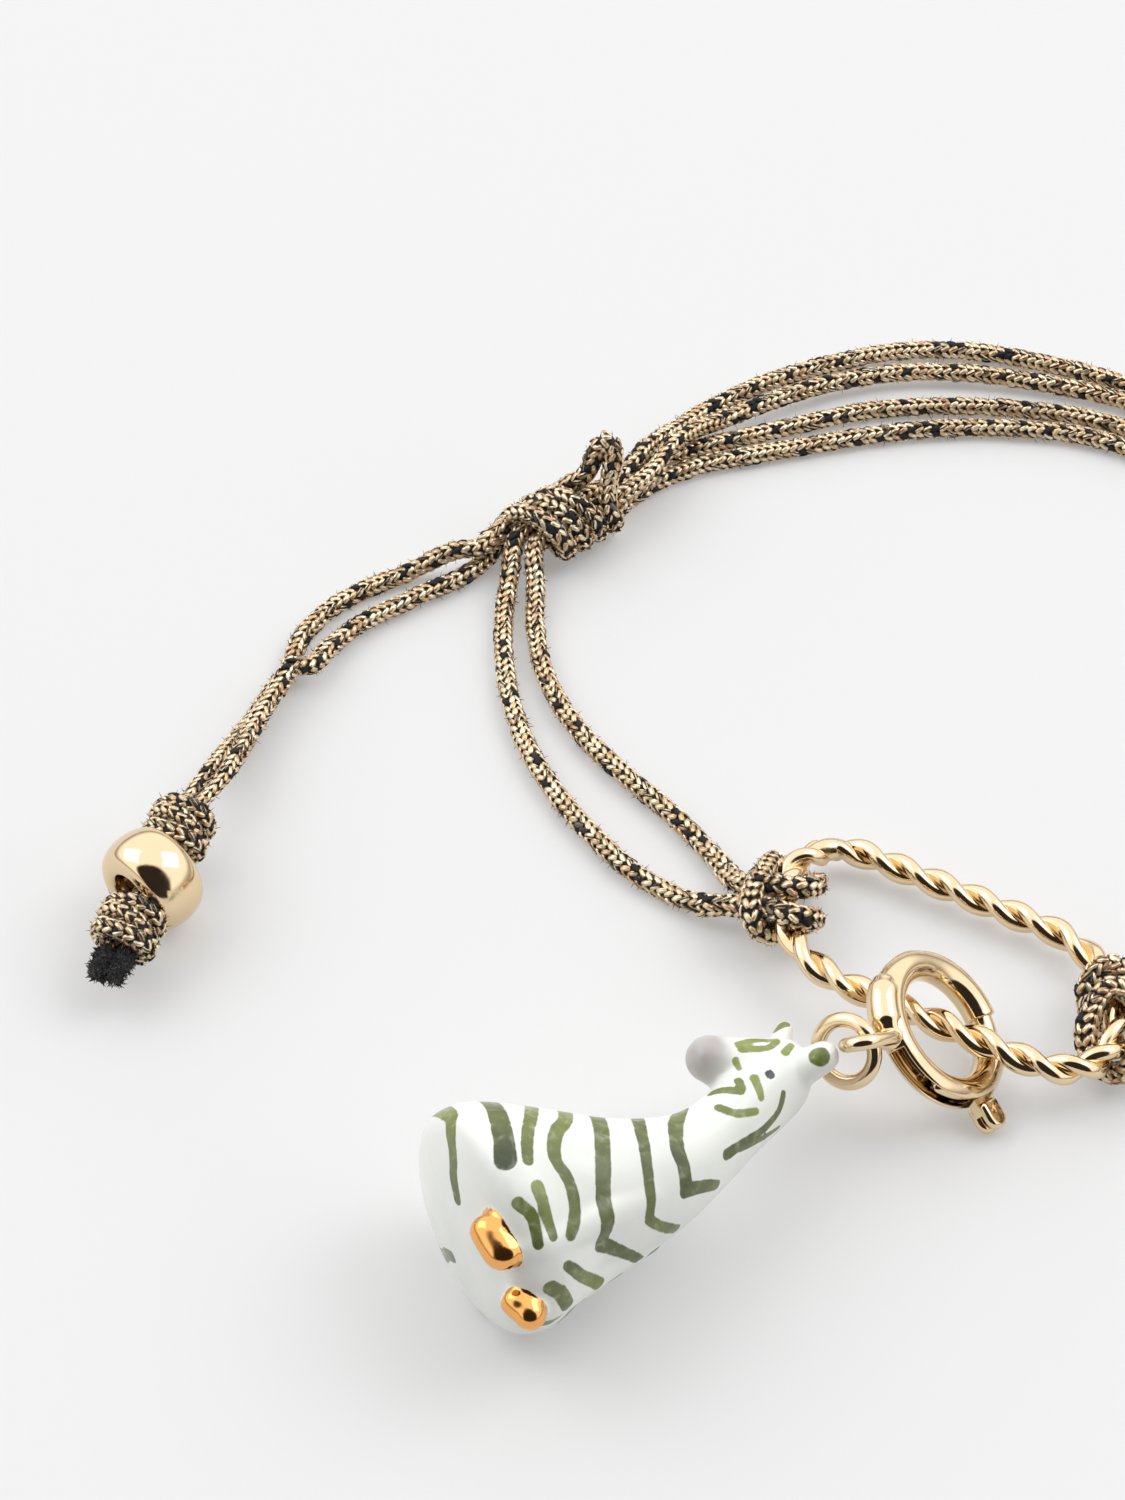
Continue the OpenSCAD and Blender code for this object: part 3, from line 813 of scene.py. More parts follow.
def domed(points: np.ndarray, sizes: np.ndarray) -> tuple[np.ndarray, np.ndarray]:
    """Adds a round dome to both ends of a path.

    Args:
        points: the path's points.
        sizes: their radii.

    Returns:
        The longer path and its radii.
    """
    angles = np.radians((84, 66, 48, 32, 16))
    first = (points[0] - points[1]) / np.linalg.norm(points[0] - points[1])
    last = (points[-1] - points[-2]) / np.linalg.norm(points[-1] - points[-2])
    head = [points[0] + first * sizes[0] * math.sin(a) for a in angles]
    tail = [points[-1] + last * sizes[-1] * math.sin(a) for a in angles[::-1]]
    return (
        np.vstack([head, points, tail]),
        np.concatenate([sizes[0] * np.cos(angles), sizes, sizes[-1] * np.cos(angles[::-1])]),
    )


def wire(
    name: str, path: Sequence[Sequence[float]], radii: Sequence[float] | float, around: int = 20,
    material: bpy.types.Material | None = None, closed: bool = False,
) -> bpy.types.Object:
    """Round wire along a path, with domed ends where it is open.

    Args:
        name: the object's name.
        path: the path's points, in millimetres.
        radii: its radius, one for all or one for each point.
        around: points round the section.
        material: its finish.
        closed: whether the path returns to its start.

    Returns:
        The wire, smooth shaded.
    """
    points = np.array(path, float)
    sizes = np.full(len(points), radii) if np.isscalar(radii) else np.array(radii, float)
    if not closed:
        points, sizes = domed(points, sizes)
    ahead = np.roll(points, -1, 0) - np.roll(points, 1, 0)
    if not closed:
        ahead[0], ahead[-1] = points[1] - points[0], points[-1] - points[-2]
    ahead /= np.linalg.norm(ahead, axis=1)[:, None]
    side = np.array((0.0, 0.0, 1.0)) if abs(ahead[0][2]) < 0.8 else np.array((1.0, 0.0, 0.0))
    angles = np.linspace(0.0, 2 * math.pi, around, endpoint=False)[:, None]
    rings = []
    for point, size, way in zip(points, sizes, ahead):
        side = side - (side @ way) * way
        side = side / np.linalg.norm(side)
        rings.append(point + size * (np.cos(angles) * side + np.sin(angles) * np.cross(way, side)))
    return skin(name, rings, closed, material)


@dataclass
class Knitting:
    """Knits cords along lines with one Geometry Nodes tree."""

    finishes: Finishes
    plain_radius: float = 0.6
    pitch: float = 0.52
    columns: int = 8
    leg_length: float = 0.74
    leg_width: float = 0.40
    leg_height: float = 0.27
    leg_tilt: float = 27.0
    seat: float = 0.80
    core: float = 0.80
    core_sides: int = 10
    fibre_length: float = 0.42
    fibre_ends: Pair = (0.006, 0.035)
    fibre_density: float = 1.3
    fibre_lean: float = 0.9
    raggedness: float = 0.1
    ragged_scale: float = 2600.0
    wobble: float = 0.035

    def __post_init__(self) -> None:
        """Builds the tree."""
        self.tree = self._tree()

    def inputs(self, radius: float, seed: int) -> dict[str, object]:
        """Values for the tree's inputs.

        Args:
            radius: the cord's radius.
            seed: picks the cord's random tones.

        Returns:
            The values by the input's name.
        """
        scale = radius / self.plain_radius
        return {
            "Stitch Pitch": self.pitch * MM * math.sqrt(scale), "Columns": self.columns,
            "Cord Radius": radius * MM, "Leg Length": self.leg_length * MM * math.sqrt(scale),
            "Leg Width": self.leg_width * MM * scale, "Leg Height": self.leg_height * MM * scale,
            "Leg Tilt": math.radians(self.leg_tilt), "Seat": self.seat, "Core": self.core,
            "Fibre Length": self.fibre_length * MM, "Fibre Density": self.fibre_density / MM**2,
            "Raggedness": self.raggedness * MM, "Seed": seed,
            "Thread": self.finishes.thread, "Yarn": self.finishes.yarn,
        }

    def _tree(self) -> bpy.types.GeometryNodeTree:
        """Builds the tree: rings of tilted legs along the line over a dark core."""
        s, g = NodeSheet.geometry("knitted_cord", self.inputs(self.plain_radius, 1))
        line = s.add("GeometryNodeMeshToCurve", {"Mesh": g["Geometry"]})
        inputs = {"Curve": line, "Length": g["Stitch Pitch"]}
        curve = s.add("GeometryNodeResampleCurve", inputs, mode="LENGTH")
        share = s.field("share")
        axes = {
            "Primary Axis": s.add("GeometryNodeInputTangent"),
            "Secondary Axis": s.add("GeometryNodeInputNormal"),
        }
        rotation = s.add(
            "FunctionNodeAxesToRotation", axes, primary_axis="X", secondary_axis="Y"
        )
        inputs = {"Points": curve, "Instance": self._course(s, g), "Rotation": rotation}
        inputs["Scale"] = s.vector(1.0, share, share)
        rows = s.add("GeometryNodeInstanceOnPoints", inputs)
        rows = s.store(rows, "row", s.add("GeometryNodeInputIndex"), "INSTANCE")
        legs = s.add("GeometryNodeRealizeInstances", {"Geometry": rows})
        number = s.math(
            "ADD", s.math("MULTIPLY", s.field("row"), g["Columns"]), s.field("column")
        )
        legs = s.store(legs, "tone", s.random(0.0, 1.0, g["Seed"], number), "POINT")
        reach = self.wobble * MM
        wobble = s.random((-reach,) * 3, (reach,) * 3, g["Seed"], number)
        ragged = s.unevenness(self.ragged_scale, 1.0, g["Raggedness"])
        offset = s.vector_math("ADD", wobble, ragged)
        legs = s.add("GeometryNodeSetPosition", {"Geometry": legs, "Offset": offset})
        legs = s.add("GeometryNodeSetMaterial", {"Geometry": legs, "Material": g["Thread"]})
        radius = s.math("MULTIPLY", g["Cord Radius"], g["Core"])
        inputs = {"Resolution": self.core_sides, "Radius": radius}
        ring = s.add("GeometryNodeCurvePrimitiveCircle", inputs)
        inputs = {"Curve": curve, "Profile Curve": ring, "Scale": share, "Fill Caps": True}
        core = s.add("GeometryNodeCurveToMesh", inputs)
        top, bottom = (end * MM for end in self.fibre_ends)
        cone = {"Vertices": 3, "Radius Top": top, "Radius Bottom": bottom}
        fibres = s.fibres(core, g, cone, self.fibre_lean)
        fibres = s.add("GeometryNodeRealizeInstances", {"Geometry": fibres})
        dark = {"Geometry": s.join(core, fibres), "Material": g["Yarn"]}
        whole = s.join(legs, s.add("GeometryNodeSetMaterial", dark))
        smooth = s.add("GeometryNodeSetShadeSmooth", {"Geometry": whole})
        s.add("NodeGroupOutput", {"Geometry": smooth})
        return s.tree

    def _course(self, s: NodeSheet, g: dict[str, bpy.types.NodeSocket]) -> bpy.types.Node:
        """One round of legs that lean left and right in turn, as a short helix.

        Args:
            s: the sheet.
            g: the tree's inputs.

        Returns:
            The node that holds the round.
        """
        ball = s.add("GeometryNodeMeshUVSphere", {"Segments": 6, "Rings": 4, "Radius": 1.0})
        inputs = {"Geometry": ball, "Rotation": (0.0, math.pi / 2, 0.0)}
        laid = s.add("GeometryNodeTransform", inputs)
        place_in_leg = s.add("GeometryNodeInputPosition")
        marked = s.store(laid, "leg", place_in_leg, "POINT", "FLOAT_VECTOR")
        half = [s.math("MULTIPLY", g["Leg " + n], 0.5) for n in ("Length", "Width", "Height")]
        leg = s.add("GeometryNodeTransform", {"Geometry": marked, "Scale": s.vector(*half)})
        column = s.add("GeometryNodeInputIndex")
        share = s.math("DIVIDE", column, g["Columns"])
        angle = s.math("MULTIPLY", share, 2 * math.pi)
        radius = s.math("MULTIPLY", g["Cord Radius"], g["Seat"])
        seat = s.vector(
            s.math("MULTIPLY", share, g["Stitch Pitch"]),
            s.math("MULTIPLY", radius, s.math("COSINE", angle)),
            s.math("MULTIPLY", radius, s.math("SINE", angle)),
        )
        points = s.add("GeometryNodePoints", {"Count": g["Columns"], "Position": seat})
        sign = s.math("SUBTRACT", s.math("MULTIPLY", s.math("MODULO", column, 2.0), 2.0), 1.0)
        facing, lean = (
            s.add("FunctionNodeAxisAngleToRotation", {"Axis": axis, "Angle": amount})
            for axis, amount in (
                ((1.0, 0.0, 0.0), s.math("SUBTRACT", angle, math.pi / 2)),
                ((0.0, 0.0, 1.0), s.math("MULTIPLY", sign, g["Leg Tilt"])),
            )
        )
        inputs = {"Points": points, "Instance": leg, "Rotation": s.turned(facing, lean)}
        legs = s.add("GeometryNodeInstanceOnPoints", inputs)
        legs = s.store(legs, "column", column, "INSTANCE")
        return s.add("GeometryNodeRealizeInstances", {"Geometry": legs})

    def knit(
        self, node: str, paths: Sequence[np.ndarray], radius: float, seed: int,
        shares: Callable[[np.ndarray], np.ndarray] | None = None,
    ) -> bpy.types.Object:
        """Knits cord along one or more paths.

        Args:
            node: the CAD node that it stands for.
            paths: the paths' points, in millimetres.
            radius: the cord's radius, in millimetres.
            seed: picks the cord's random tones.
            shares: gives the share of the radius along a path; all 1 if left out.

        Returns:
            The knitted piece.
        """
        name = "knit_" + node
        points, edges, share = [], [], []
        for path in paths:
            start = len(points)
            points += list(path)
            edges += [(start + i, start + i + 1) for i in range(len(path) - 1)]
            share += list(shares(path) if shares else np.ones(len(path)))
        line = object_from(name + "_line", points, [], edges=edges)
        line.data.attributes.new("share", "FLOAT", "POINT").data.foreach_set("value", share)
        return with_tree(line, self.tree, self.inputs(radius, seed), name)


CORD_D = 1.2
LINK_FRAME = shift(-3.43, -14.05, 2.2) @ turn(-29.1, "Z") @ turn(-9, "X")
LINK_RACK = -0.31
HALF_LINK = 9.9
LARK_TURN = turn(-math.degrees(math.atan(LINK_RACK)), "Z")
LEFT_LARK = LINK_FRAME @ shift(-HALF_LINK, 0, 0) @ LARK_TURN
RIGHT_LARK = LINK_FRAME @ turn(180, "Z") @ shift(-HALF_LINK, 0, 0) @ LARK_TURN
LEFT_KNOT = shift(-24.6, 20.9, 0) @ turn(40, "Z")
RIGHT_KNOT = shift(32.6, 0.5, 0) @ turn(92, "Z") @ Matrix.Diagonal((1, -1, 1, 1))
LEFT_BEAD = shift(-47.2, -9.15, 2.95) @ turn(-107, "Z")
RIGHT_BEAD = shift(47.7, -31.4, 2.95) @ turn(-80, "Z")

LARK_ROUTE = [
    (-3.6, 1.9, -1.25), (-3.1, 1.1, -0.95), (-2.5, 0.45, -0.6), (-1.95, 0.0, -0.3),
    (-1.3, -0.5, 0.45), (-0.6, -1.1, 1.15), (0.4, -1.4, 1.45), (1.2, -0.7, 1.05),
    (1.6, 0.6, 0.3), (1.35, 1.5, -0.7), (0.3, 2.0, -1.4), (-0.6, 2.3, -1.15),
    (-0.95, 2.35, -0.4), (-1.2, 1.5, 0.3), (-1.4, 0.3, 0.65), (-1.65, -0.9, 0.9),
    (-1.7, -2.0, 0.95), (-1.65, -2.85, 0.65), (-1.25, -3.35, 0.0), (-0.6, -3.0, -0.75),
    (0.3, -1.9, -1.4), (1.3, -1.5, -0.95), (1.85, -2.1, 0.1), (1.45, -3.1, 0.95),
    (0.5, -3.4, 1.25), (-0.4, -2.75, 0.85), (-1.2, -2.05, 0.0), (-2.0, -1.5, -0.55),
    (-2.9, -1.15, -0.95), (-3.9, -1.05, -1.28),
]
MAIN_ROUTES = {
    "cord_left_outer": [
        (-16.32, -9.51, 1.25), (-17.3, -8.95, 0.85), (-18.6, -8.05, 0.6), (-20.95, -6.1, 0.6),
        (-23.95, -2.1, 0.6), (-26.2, 2.2, 0.6), (-27.5, 6.6, 0.6), (-28, 10.8, 0.6),
        (-28, 14, 0.65), (-27.7, 16.8, 1.2), (-27.25, 19.3, 1.95), (-25.25, 21.3, 1.95),
        (-22.95, 23.2, 2), (-21.3, 24.4, 2.05), (-20.15, 25.95, 2.1), (-19.1, 27.9, 1.8),
        (-17.35, 30.3, 1.05), (-15, 32.7, 0.75), (-11.5, 35.1, 0.75), (-7.15, 37.05, 0.7),
        (-2.55, 38.35, 0.7), (2.25, 38.35, 0.65), (7.05, 37.15, 0.65), (11.9, 35.1, 0.65),
        (16.5, 32.3, 0.65), (20.7, 29.2, 0.65), (24.6, 25.7, 0.6), (28, 21.7, 0.6),
        (30.7, 17.2, 0.6), (32.6, 12.4, 0.6), (33.5, 8.2, 0.6), (33.56, 5.92, 0.64),
        (33.42, 4.97, 0.62),
    ],
    "cord_left_inner": [
        (-15.2, -6.66, 0.86), (-15.9, -5.6, 0.7), (-17.0, -3.85, 0.6), (-18.6, -1.75, 0.6),
        (-21.5, 1.55, 0.6), (-24.1, 5.4, 0.6), (-25.65, 9.5, 0.6), (-26.15, 13.35, 0.65),
        (-26.1, 16.25, 1.15), (-26.15, 18.55, 1.9), (-24.2, 20.55, 1.95), (-21.95, 22.4, 2.05),
        (-20.2, 23.65, 2.2), (-18.8, 25.2, 2.3), (-17.8, 27.15, 2.35), (-16.3, 29.3, 1.85),
        (-14.2, 31.1, 1.2), (-11.4, 32.85, 1.1), (-7.8, 34.6, 1), (-3.35, 35.85, 0.95),
        (1.15, 36, 0.9), (5.9, 35.25, 0.8), (10.6, 33.85, 0.75), (15, 31.5, 0.75),
        (19.25, 28.6, 0.7), (23.05, 25.1, 0.65), (26.45, 21.05, 0.65), (29.3, 16.65, 0.6),
        (31.2, 12.25, 0.6), (31.95, 8.2, 0.6), (32.25, 5.85, 0.62), (32.03, 4.92, 0.62),
    ],
    "cord_right_outer": [
        (8.3, -21.62, 0.98), (9.6, -22.0, 0.8), (12, -22.2, 0.6), (16, -22.9, 0.6),
        (20.5, -22.1, 0.6), (24.7, -19.3, 0.6), (28.25, -15.5, 0.6), (31.05, -11.2, 0.6),
        (32.25, -6.6, 0.8), (32.7, -4.5, 1.5), (33.2, -2.6, 1.95), (33.25, 0.5, 1.95),
        (33.15, 3.5, 2), (32.95, 6.25, 2), (31.6, 9.55, 2), (29.6, 13.35, 1.3),
        (27.2, 17.05, 0.7), (24.3, 20.75, 0.65), (21, 24.15, 0.65), (17.3, 27.1, 0.65),
        (13.4, 29.7, 0.65), (9.25, 31.8, 0.65), (4.85, 32.75, 0.6), (0.25, 33.05, 0.6),
        (-4.35, 32.7, 0.6), (-8.35, 31.6, 0.6), (-12.1, 30.35, 0.6), (-15.6, 29.15, 0.6),
        (-18.65, 27.6, 0.6), (-20.55, 26.1, 0.6), (-21.21, 25.24, 0.64), (-21.83, 24.5, 0.62),
    ],
    "cord_right_inner": [
        (9.26, -18.95, 0.6), (10.19, -19.03, 0.6), (12, -19.8, 0.6), (16, -20.7, 0.6),
        (20.1, -19.9, 0.6), (23.85, -17.5, 0.6), (27.05, -14.1, 0.6), (29.65, -10.1, 0.6),
        (30.85, -6.3, 0.8), (31.35, -4.4, 1.5), (31.9, -2.5, 1.9), (32, 0.5, 1.95),
        (31.9, 3.5, 1.95), (31.6, 6.3, 1.95), (30.1, 9.3, 1.9), (28.1, 12.8, 1.2),
        (25.7, 16.2, 0.6), (22.9, 19.6, 0.6), (19.8, 22.8, 0.6), (16.4, 25.8, 0.6),
        (12.7, 28.4, 0.6), (8.6, 30.2, 0.6), (4.3, 30.9, 0.6), (-0.2, 30.9, 0.6),
        (-4.6, 30.3, 0.6), (-8.8, 29.3, 0.6), (-12.7, 28.3, 0.6), (-15.9, 27.4, 0.6),
        (-18.4, 26, 0.6), (-20, 24.6, 0.6), (-20.39, 24.22, 0.62), (-20.94, 23.43, 0.62),
    ],
}
TAIL_ROUTES = {
    "tail_left_upper": [
        (-28.96, 19.35, 1.92), (-29.56, 18.6, 1.89), (-31.1, 18.35, 1.8), (-32.95, 18, 1),
        (-34.55, 17.3, 0.6), (-36.3, 16.35, 0.6), (-37.75, 15.25, 0.6), (-39.1, 13.85, 0.6),
        (-40.2, 12, 0.6), (-40.8, 9.45, 0.6), (-41.65, 7.65, 0.6), (-42.4, 5.9, 0.6),
        (-43.2, 3.9, 0.85), (-44.1, 1.7, 1.4), (-44.95, -0.7, 2.25), (-45.75, -2.9, 2.65),
        (-46.4, -4.9, 2.65), (-47, -6.95, 2.65), (-47.65, -9, 2.65), (-48.2, -10.95, 2.65),
        (-48.81, -12.84, 2.65), (-49.36, -14.66, 2.65),
    ],
    "tail_left_lower": [
        (-29, 19.24, 0.6), (-29.52, 18.44, 0.6), (-31.1, 17, 0.6), (-32.85, 15.9, 0.65),
        (-34.35, 14.85, 0.65), (-35.95, 13.8, 0.65), (-37.2, 12.55, 0.75), (-38.35, 11.05, 0.9),
        (-39.3, 9.25, 1.25), (-40.45, 8.55, 1.65), (-41.3, 6.7, 1.65), (-42, 4.95, 1.7),
        (-42.65, 2.95, 1.9), (-43.25, 0.8, 2.25), (-43.95, -1.35, 2.6), (-44.9, -3.15, 2.65),
        (-45.5, -5.15, 2.65), (-46.15, -7.25, 2.65), (-46.75, -9.3, 2.65), (-47.35, -11.2, 2.65),
        (-47.93, -13.11, 2.65), (-48.49, -14.93, 2.65),
    ],
    "tail_right_upper": [
        (34.37, -3.78, 1.92), (34.21, -4.72, 1.89), (35.75, -5.6, 1.8), (37.4, -7.35, 0.6),
        (39.1, -9.35, 0.6), (40.85, -11.5, 0.6), (42.35, -13.85, 0.6), (43.7, -16.3, 0.6),
        (44.8, -18.75, 0.65), (45.7, -20.95, 0.9), (46.5, -22.95, 1.6), (47.05, -25, 2.65),
        (47.4, -27.1, 2.65), (47.8, -29.2, 2.65), (48.15, -31.3, 2.65), (48.5, -33.3, 2.65),
        (48.85, -35.26, 2.65), (49.18, -37.13, 2.65),
    ],
    "tail_right_lower": [
        (34.31, -3.88, 0.6), (34.06, -4.8, 0.6), (35.15, -6.3, 0.6), (36.35, -8.25, 0.6),
        (38.1, -10.25, 0.6), (39.75, -12.3, 0.6), (41.2, -14.55, 0.6), (42.5, -16.9, 0.6),
        (43.6, -19.25, 0.65), (44.5, -21.45, 0.9), (45.4, -23.45, 1.6), (46.15, -25.2, 2.65),
        (46.5, -27.25, 2.65), (46.85, -29.35, 2.65), (47.25, -31.5, 2.65), (47.6, -33.45, 2.65),
        (47.94, -35.42, 2.65), (48.27, -37.29, 2.65),
    ],
}


@dataclass
class Cords:
    """The four main cords, the four tails and all knots."""

    knitting: Knitting
    steps: int = 6
    knot_steps: int = 4
    lark_radius: float = 0.66
    wind_radius: float = 0.62
    stop_radius: float = 0.56
    tail_share: float = 0.72
    squeezed: int = 7
    wind_half: Pair = (2.02, 1.36)
    wind_pitch: float = 2.55
    wind_starts: Pair = (2.6, 1.32)
    core_z: float = 1.95
    ear: tuple[Point, ...] = (
        (2.55, -1.5, 2.65), (2.95, -1.0, 3.4), (3.4, -0.68, 4.3), (3.8, -0.5, 5.2),
        (3.95, -0.15, 5.95), (3.7, 0.3, 6.1), (3.25, 0.5, 5.4), (2.85, 0.55, 4.5),
        (2.4, 0.7, 3.7), (2.0, 1.2, 3.1),
    )
    stop_half: Pair = (1.42, 1.16)
    stop_pitch: float = 0.95
    stop_turns: int = 3
    stop_slant: Pair = (0.5, 0.2)
    stop_places: Pair = (-3.95, 3.6)
    stop_drop: float = 0.15

    def winding(self, start: float, angles: Sequence[int]) -> list[Point]:
        """Points of a winding round the sliding knot's core.

        Args:
            start: where the winding starts along the core.
            angles: degrees wound at each point.

        Returns:
            The points in the knot's frame.
        """
        y, z = self.wind_half
        return [
            (start - self.wind_pitch * turned / 360, -y * math.cos(math.radians(turned)),
             self.core_z + z * math.sin(math.radians(turned)))
            for turned in angles
        ]

    def winds(self) -> list[list[Point]]:
        """The two routes of a sliding knot; the first stands up in an ear on the way."""
        a, b = self.wind_starts
        return [
            [(4.3, -0.45, 0.62), (3.75, -0.6, 0.62), *self.winding(a, (-60, -25)), *self.ear,
             *self.winding(a, range(180, 541, 30)),
             (-1.9, 2.3, 1.05), (-3.0, 2.0, 0.62), (-4.3, 1.6, 0.6)],
            [(4.3, 0.95, 0.62), (3.2, 0.75, 0.6), (2.3, 0.3, 0.58),
             *self.winding(b, (-75, -40, -10)), *self.winding(b, range(20, 531, 30)),
             (-3.0, 1.9, 1.95), (-4.2, 1.65, 1.92)],
        ]

    def stop_route(self) -> list[Point]:
        """The winding of a stop knot in its own frame."""
        rows = []
        for turned in range(0, 360 * self.stop_turns + 1, 24):
            a = math.radians(turned)
            slant = self.stop_slant[0] * math.sin(a) + self.stop_slant[1] * math.sin(1.6 * a + 1)
            along = self.stop_pitch * (turned / 360 - self.stop_turns / 2) + slant
            rows.append((along, self.stop_half[0] * math.sin(a), -self.stop_half[1] * math.cos(a)))
        return rows

    def build_knots(self) -> dict[str, bpy.types.Object]:
        """Knits the lark's heads, the sliding knots and the stop knots.

        Returns:
            The pieces by the node that each stands for.
        """
        jobs = []
        frames = (
            ("left", LEFT_LARK, LEFT_KNOT, LEFT_BEAD), ("right", RIGHT_LARK, RIGHT_KNOT, RIGHT_BEAD)
        )
        for seed, (hand, lark, knot, bead) in enumerate(frames):
            jobs.append((f"larks_head_{hand}", [LARK_ROUTE], lark, self.lark_radius, 20 + seed))
            jobs.append((f"sliding_knot_{hand}", self.winds(), knot, self.wind_radius, 30 + seed))
            for letter, along in zip("ab", self.stop_places):
                frame = bead @ shift(along, 0, -self.stop_drop)
                node = f"stop_knot_{hand}_{letter}"
                jobs.append((node, [self.stop_route()], frame, self.stop_radius, 40 + seed))
        made = {}
        for node, routes, frame, radius, seed in jobs:
            paths = [smooth_path(placed(route, frame), self.knot_steps) for route in routes]
            made[node] = self.knitting.knit(node, paths, radius, seed)
        for node, piece in made.items():
            finish_piece(piece, Body.BRACELET, Slot.CORD, node)
        return made

    def tail_shares(self, path: np.ndarray) -> np.ndarray:
        """Share of the radius along a tail, squeezed from the first stop knot on.

        Args:
            path: the tail's path.

        Returns:
            The shares.
        """
        count = len(path)
        start = count - 1 - self.squeezed * self.steps
        along = (np.arange(count) - start + self.steps) / self.steps
        return 1.0 + (self.tail_share - 1.0) * np.clip(along, 0.0, 1.0)

    def build(self) -> None:
        knots = self.build_knots()
        for seed, (node, route) in enumerate({**MAIN_ROUTES, **TAIL_ROUTES}.items()):
            tail = node in TAIL_ROUTES
            path = smooth_path(route, self.steps)
            shares = self.tail_shares if tail else None
            piece = self.knitting.knit(node, [path], CORD_D / 2, seed + 1, shares)
            finish_piece(piece, Body.BRACELET, Slot.CORD, node)
            LOG.info("%s is %.1f mm long", node, path_length(path))


@dataclass
class RopeLink:
    """The oval link of two twisted wires, soldered into one loop."""

    length: float = 19.8
    width: float = 10.4
    corner: float = 4.7
    wire_d: float = 0.89
    strand_share: float = 0.9
    sides: int = 20
    turns: float = 11.0
    seam: float = 39.6
    seam_half: float = 1.1
    seam_radii: Pair = (0.5, 0.66)
    seam_rise: float = 0.12
    gap: float = 0.25
    steps: int = 420

    @property
    def long_side(self) -> float:
        """Straight part of the long side."""
        return self.length - 2 * self.corner

    @property
    def short_side(self) -> float:
        """Straight part of the short side."""
        return self.width - 2 * self.corner

    @property
    def bend(self) -> float:
        """Length of a corner."""
        return math.pi * self.corner / 2

    @property
    def half(self) -> float:
        """Half the loop's length."""
        return self.long_side + self.short_side + 2 * self.bend

    def point(self, u: float, z: float = 0.0) -> Point:
        """Middle of the rope.

        Args:
            u: distance along the loop.
            z: height over the link's middle plane.

        Returns:
            The point in the link's frame.
        """
        u = u % (2 * self.half)
        side = 1 if u < self.half else -1
        u = u if u < self.half else u - self.half
        a, b = self.long_side, self.short_side
        if u < a:
            x, y = u - a / 2, -self.width / 2
        elif u < a + self.bend:
            t = math.radians(90 * (u - a) / self.bend - 90)
            x, y = a / 2 + self.corner * math.cos(t), -b / 2 + self.corner * math.sin(t)
        elif u < a + self.bend + b:
            x, y = self.length / 2, u - a - self.bend - b / 2
        else:
            t = math.radians(90 * (u - a - self.bend - b) / self.bend)
            x, y = a / 2 + self.corner * math.cos(t), b / 2 + self.corner * math.sin(t)
        return side * (x + LINK_RACK * y), side * y, z

    @staticmethod
    def tree(inputs: dict[str, object]) -> bpy.types.GeometryNodeTree:
        """Twists two wires round a flat line.

        Args:
            inputs: values for the tree's named inputs.

        Returns:
            The tree.
        """
        s, g = NodeSheet.geometry("twisted_wires", inputs)
        line = s.add("GeometryNodeMeshToCurve", {"Mesh": g["Geometry"]})
        tangent = s.add("GeometryNodeInputTangent")
        across = s.vector_math("CROSS_PRODUCT", tangent, (0.0, 0.0, 1.0))
        circle = {"Resolution": g["Sides"], "Radius": g["Wire Radius"]}
        ring = s.add("GeometryNodeCurvePrimitiveCircle", circle)
        tubes = []
        for phase in (0.0, math.pi):
            turned = s.math("ADD", s.field("twist"), phase)
            out, rise = (
                s.math("MULTIPLY", s.math(kind, turned), g["Strand Offset"])
                for kind in ("COSINE", "SINE")
            )
            out = s.vector_math("SCALE", across, out)
            offset = s.vector_math("ADD", out, s.vector(0.0, 0.0, rise))
            strand = s.add("GeometryNodeSetPosition", {"Geometry": line, "Offset": offset})
            tube = {"Curve": strand, "Profile Curve": ring, "Scale": s.field("thick")}
            tubes.append(s.add("GeometryNodeCurveToMesh", {**tube, "Fill Caps": True}))
        dressed = {"Geometry": s.join(*tubes), "Material": g["Plate"]}
        dressed = s.add("GeometryNodeSetMaterial", dressed)
        smooth = s.add("GeometryNodeSetShadeSmooth", {"Geometry": dressed})
        real = s.add("GeometryNodeRealizeInstances", {"Geometry": smooth})
        s.add("NodeGroupOutput", {"Geometry": real})
        return s.tree

    def build(self, finishes: Finishes) -> None:
        """Builds the link with its soldered seam.

        Args:
            finishes: the finishes.
        """
        around, radius = 2 * self.half, self.wire_d / 2
        start = self.seam + self.gap
        places = np.linspace(start, start + around - 2 * self.gap, self.steps)
        twist = [-2 * math.pi * self.turns * u / around for u in places]
        ends = np.minimum(places - places[0], places[-1] - places) / radius
        thick = np.sqrt(np.clip(1.0 - (1.0 - np.clip(ends, 0.0, 1.0)) ** 2, 0.02, 1.0))
        line = line_object("link_line", [self.point(u) for u in places], twist=twist, thick=thick)
        inputs = {
            "Wire Radius": radius * MM, "Strand Offset": radius * self.strand_share * MM,
            "Sides": self.sides, "Plate": finishes.plate,
        }
        rope = with_tree(line, self.tree(inputs), inputs, "link_rope")
        low, high = self.seam_radii
        share = np.linspace(-1.0, 1.0, 15)
        path = [self.point(self.seam + self.seam_half * k, self.seam_rise) for k in share]
        radii = low + (high - low) * (1 - share**2)
        seam = wire("link_seam", path, radii, self.sides, finishes.solder)
        link = place(joined("twisted_link", rope, seam), LINK_FRAME)
        finish_piece(link, Body.BRACELET, Slot.GOLD, "rope_link")


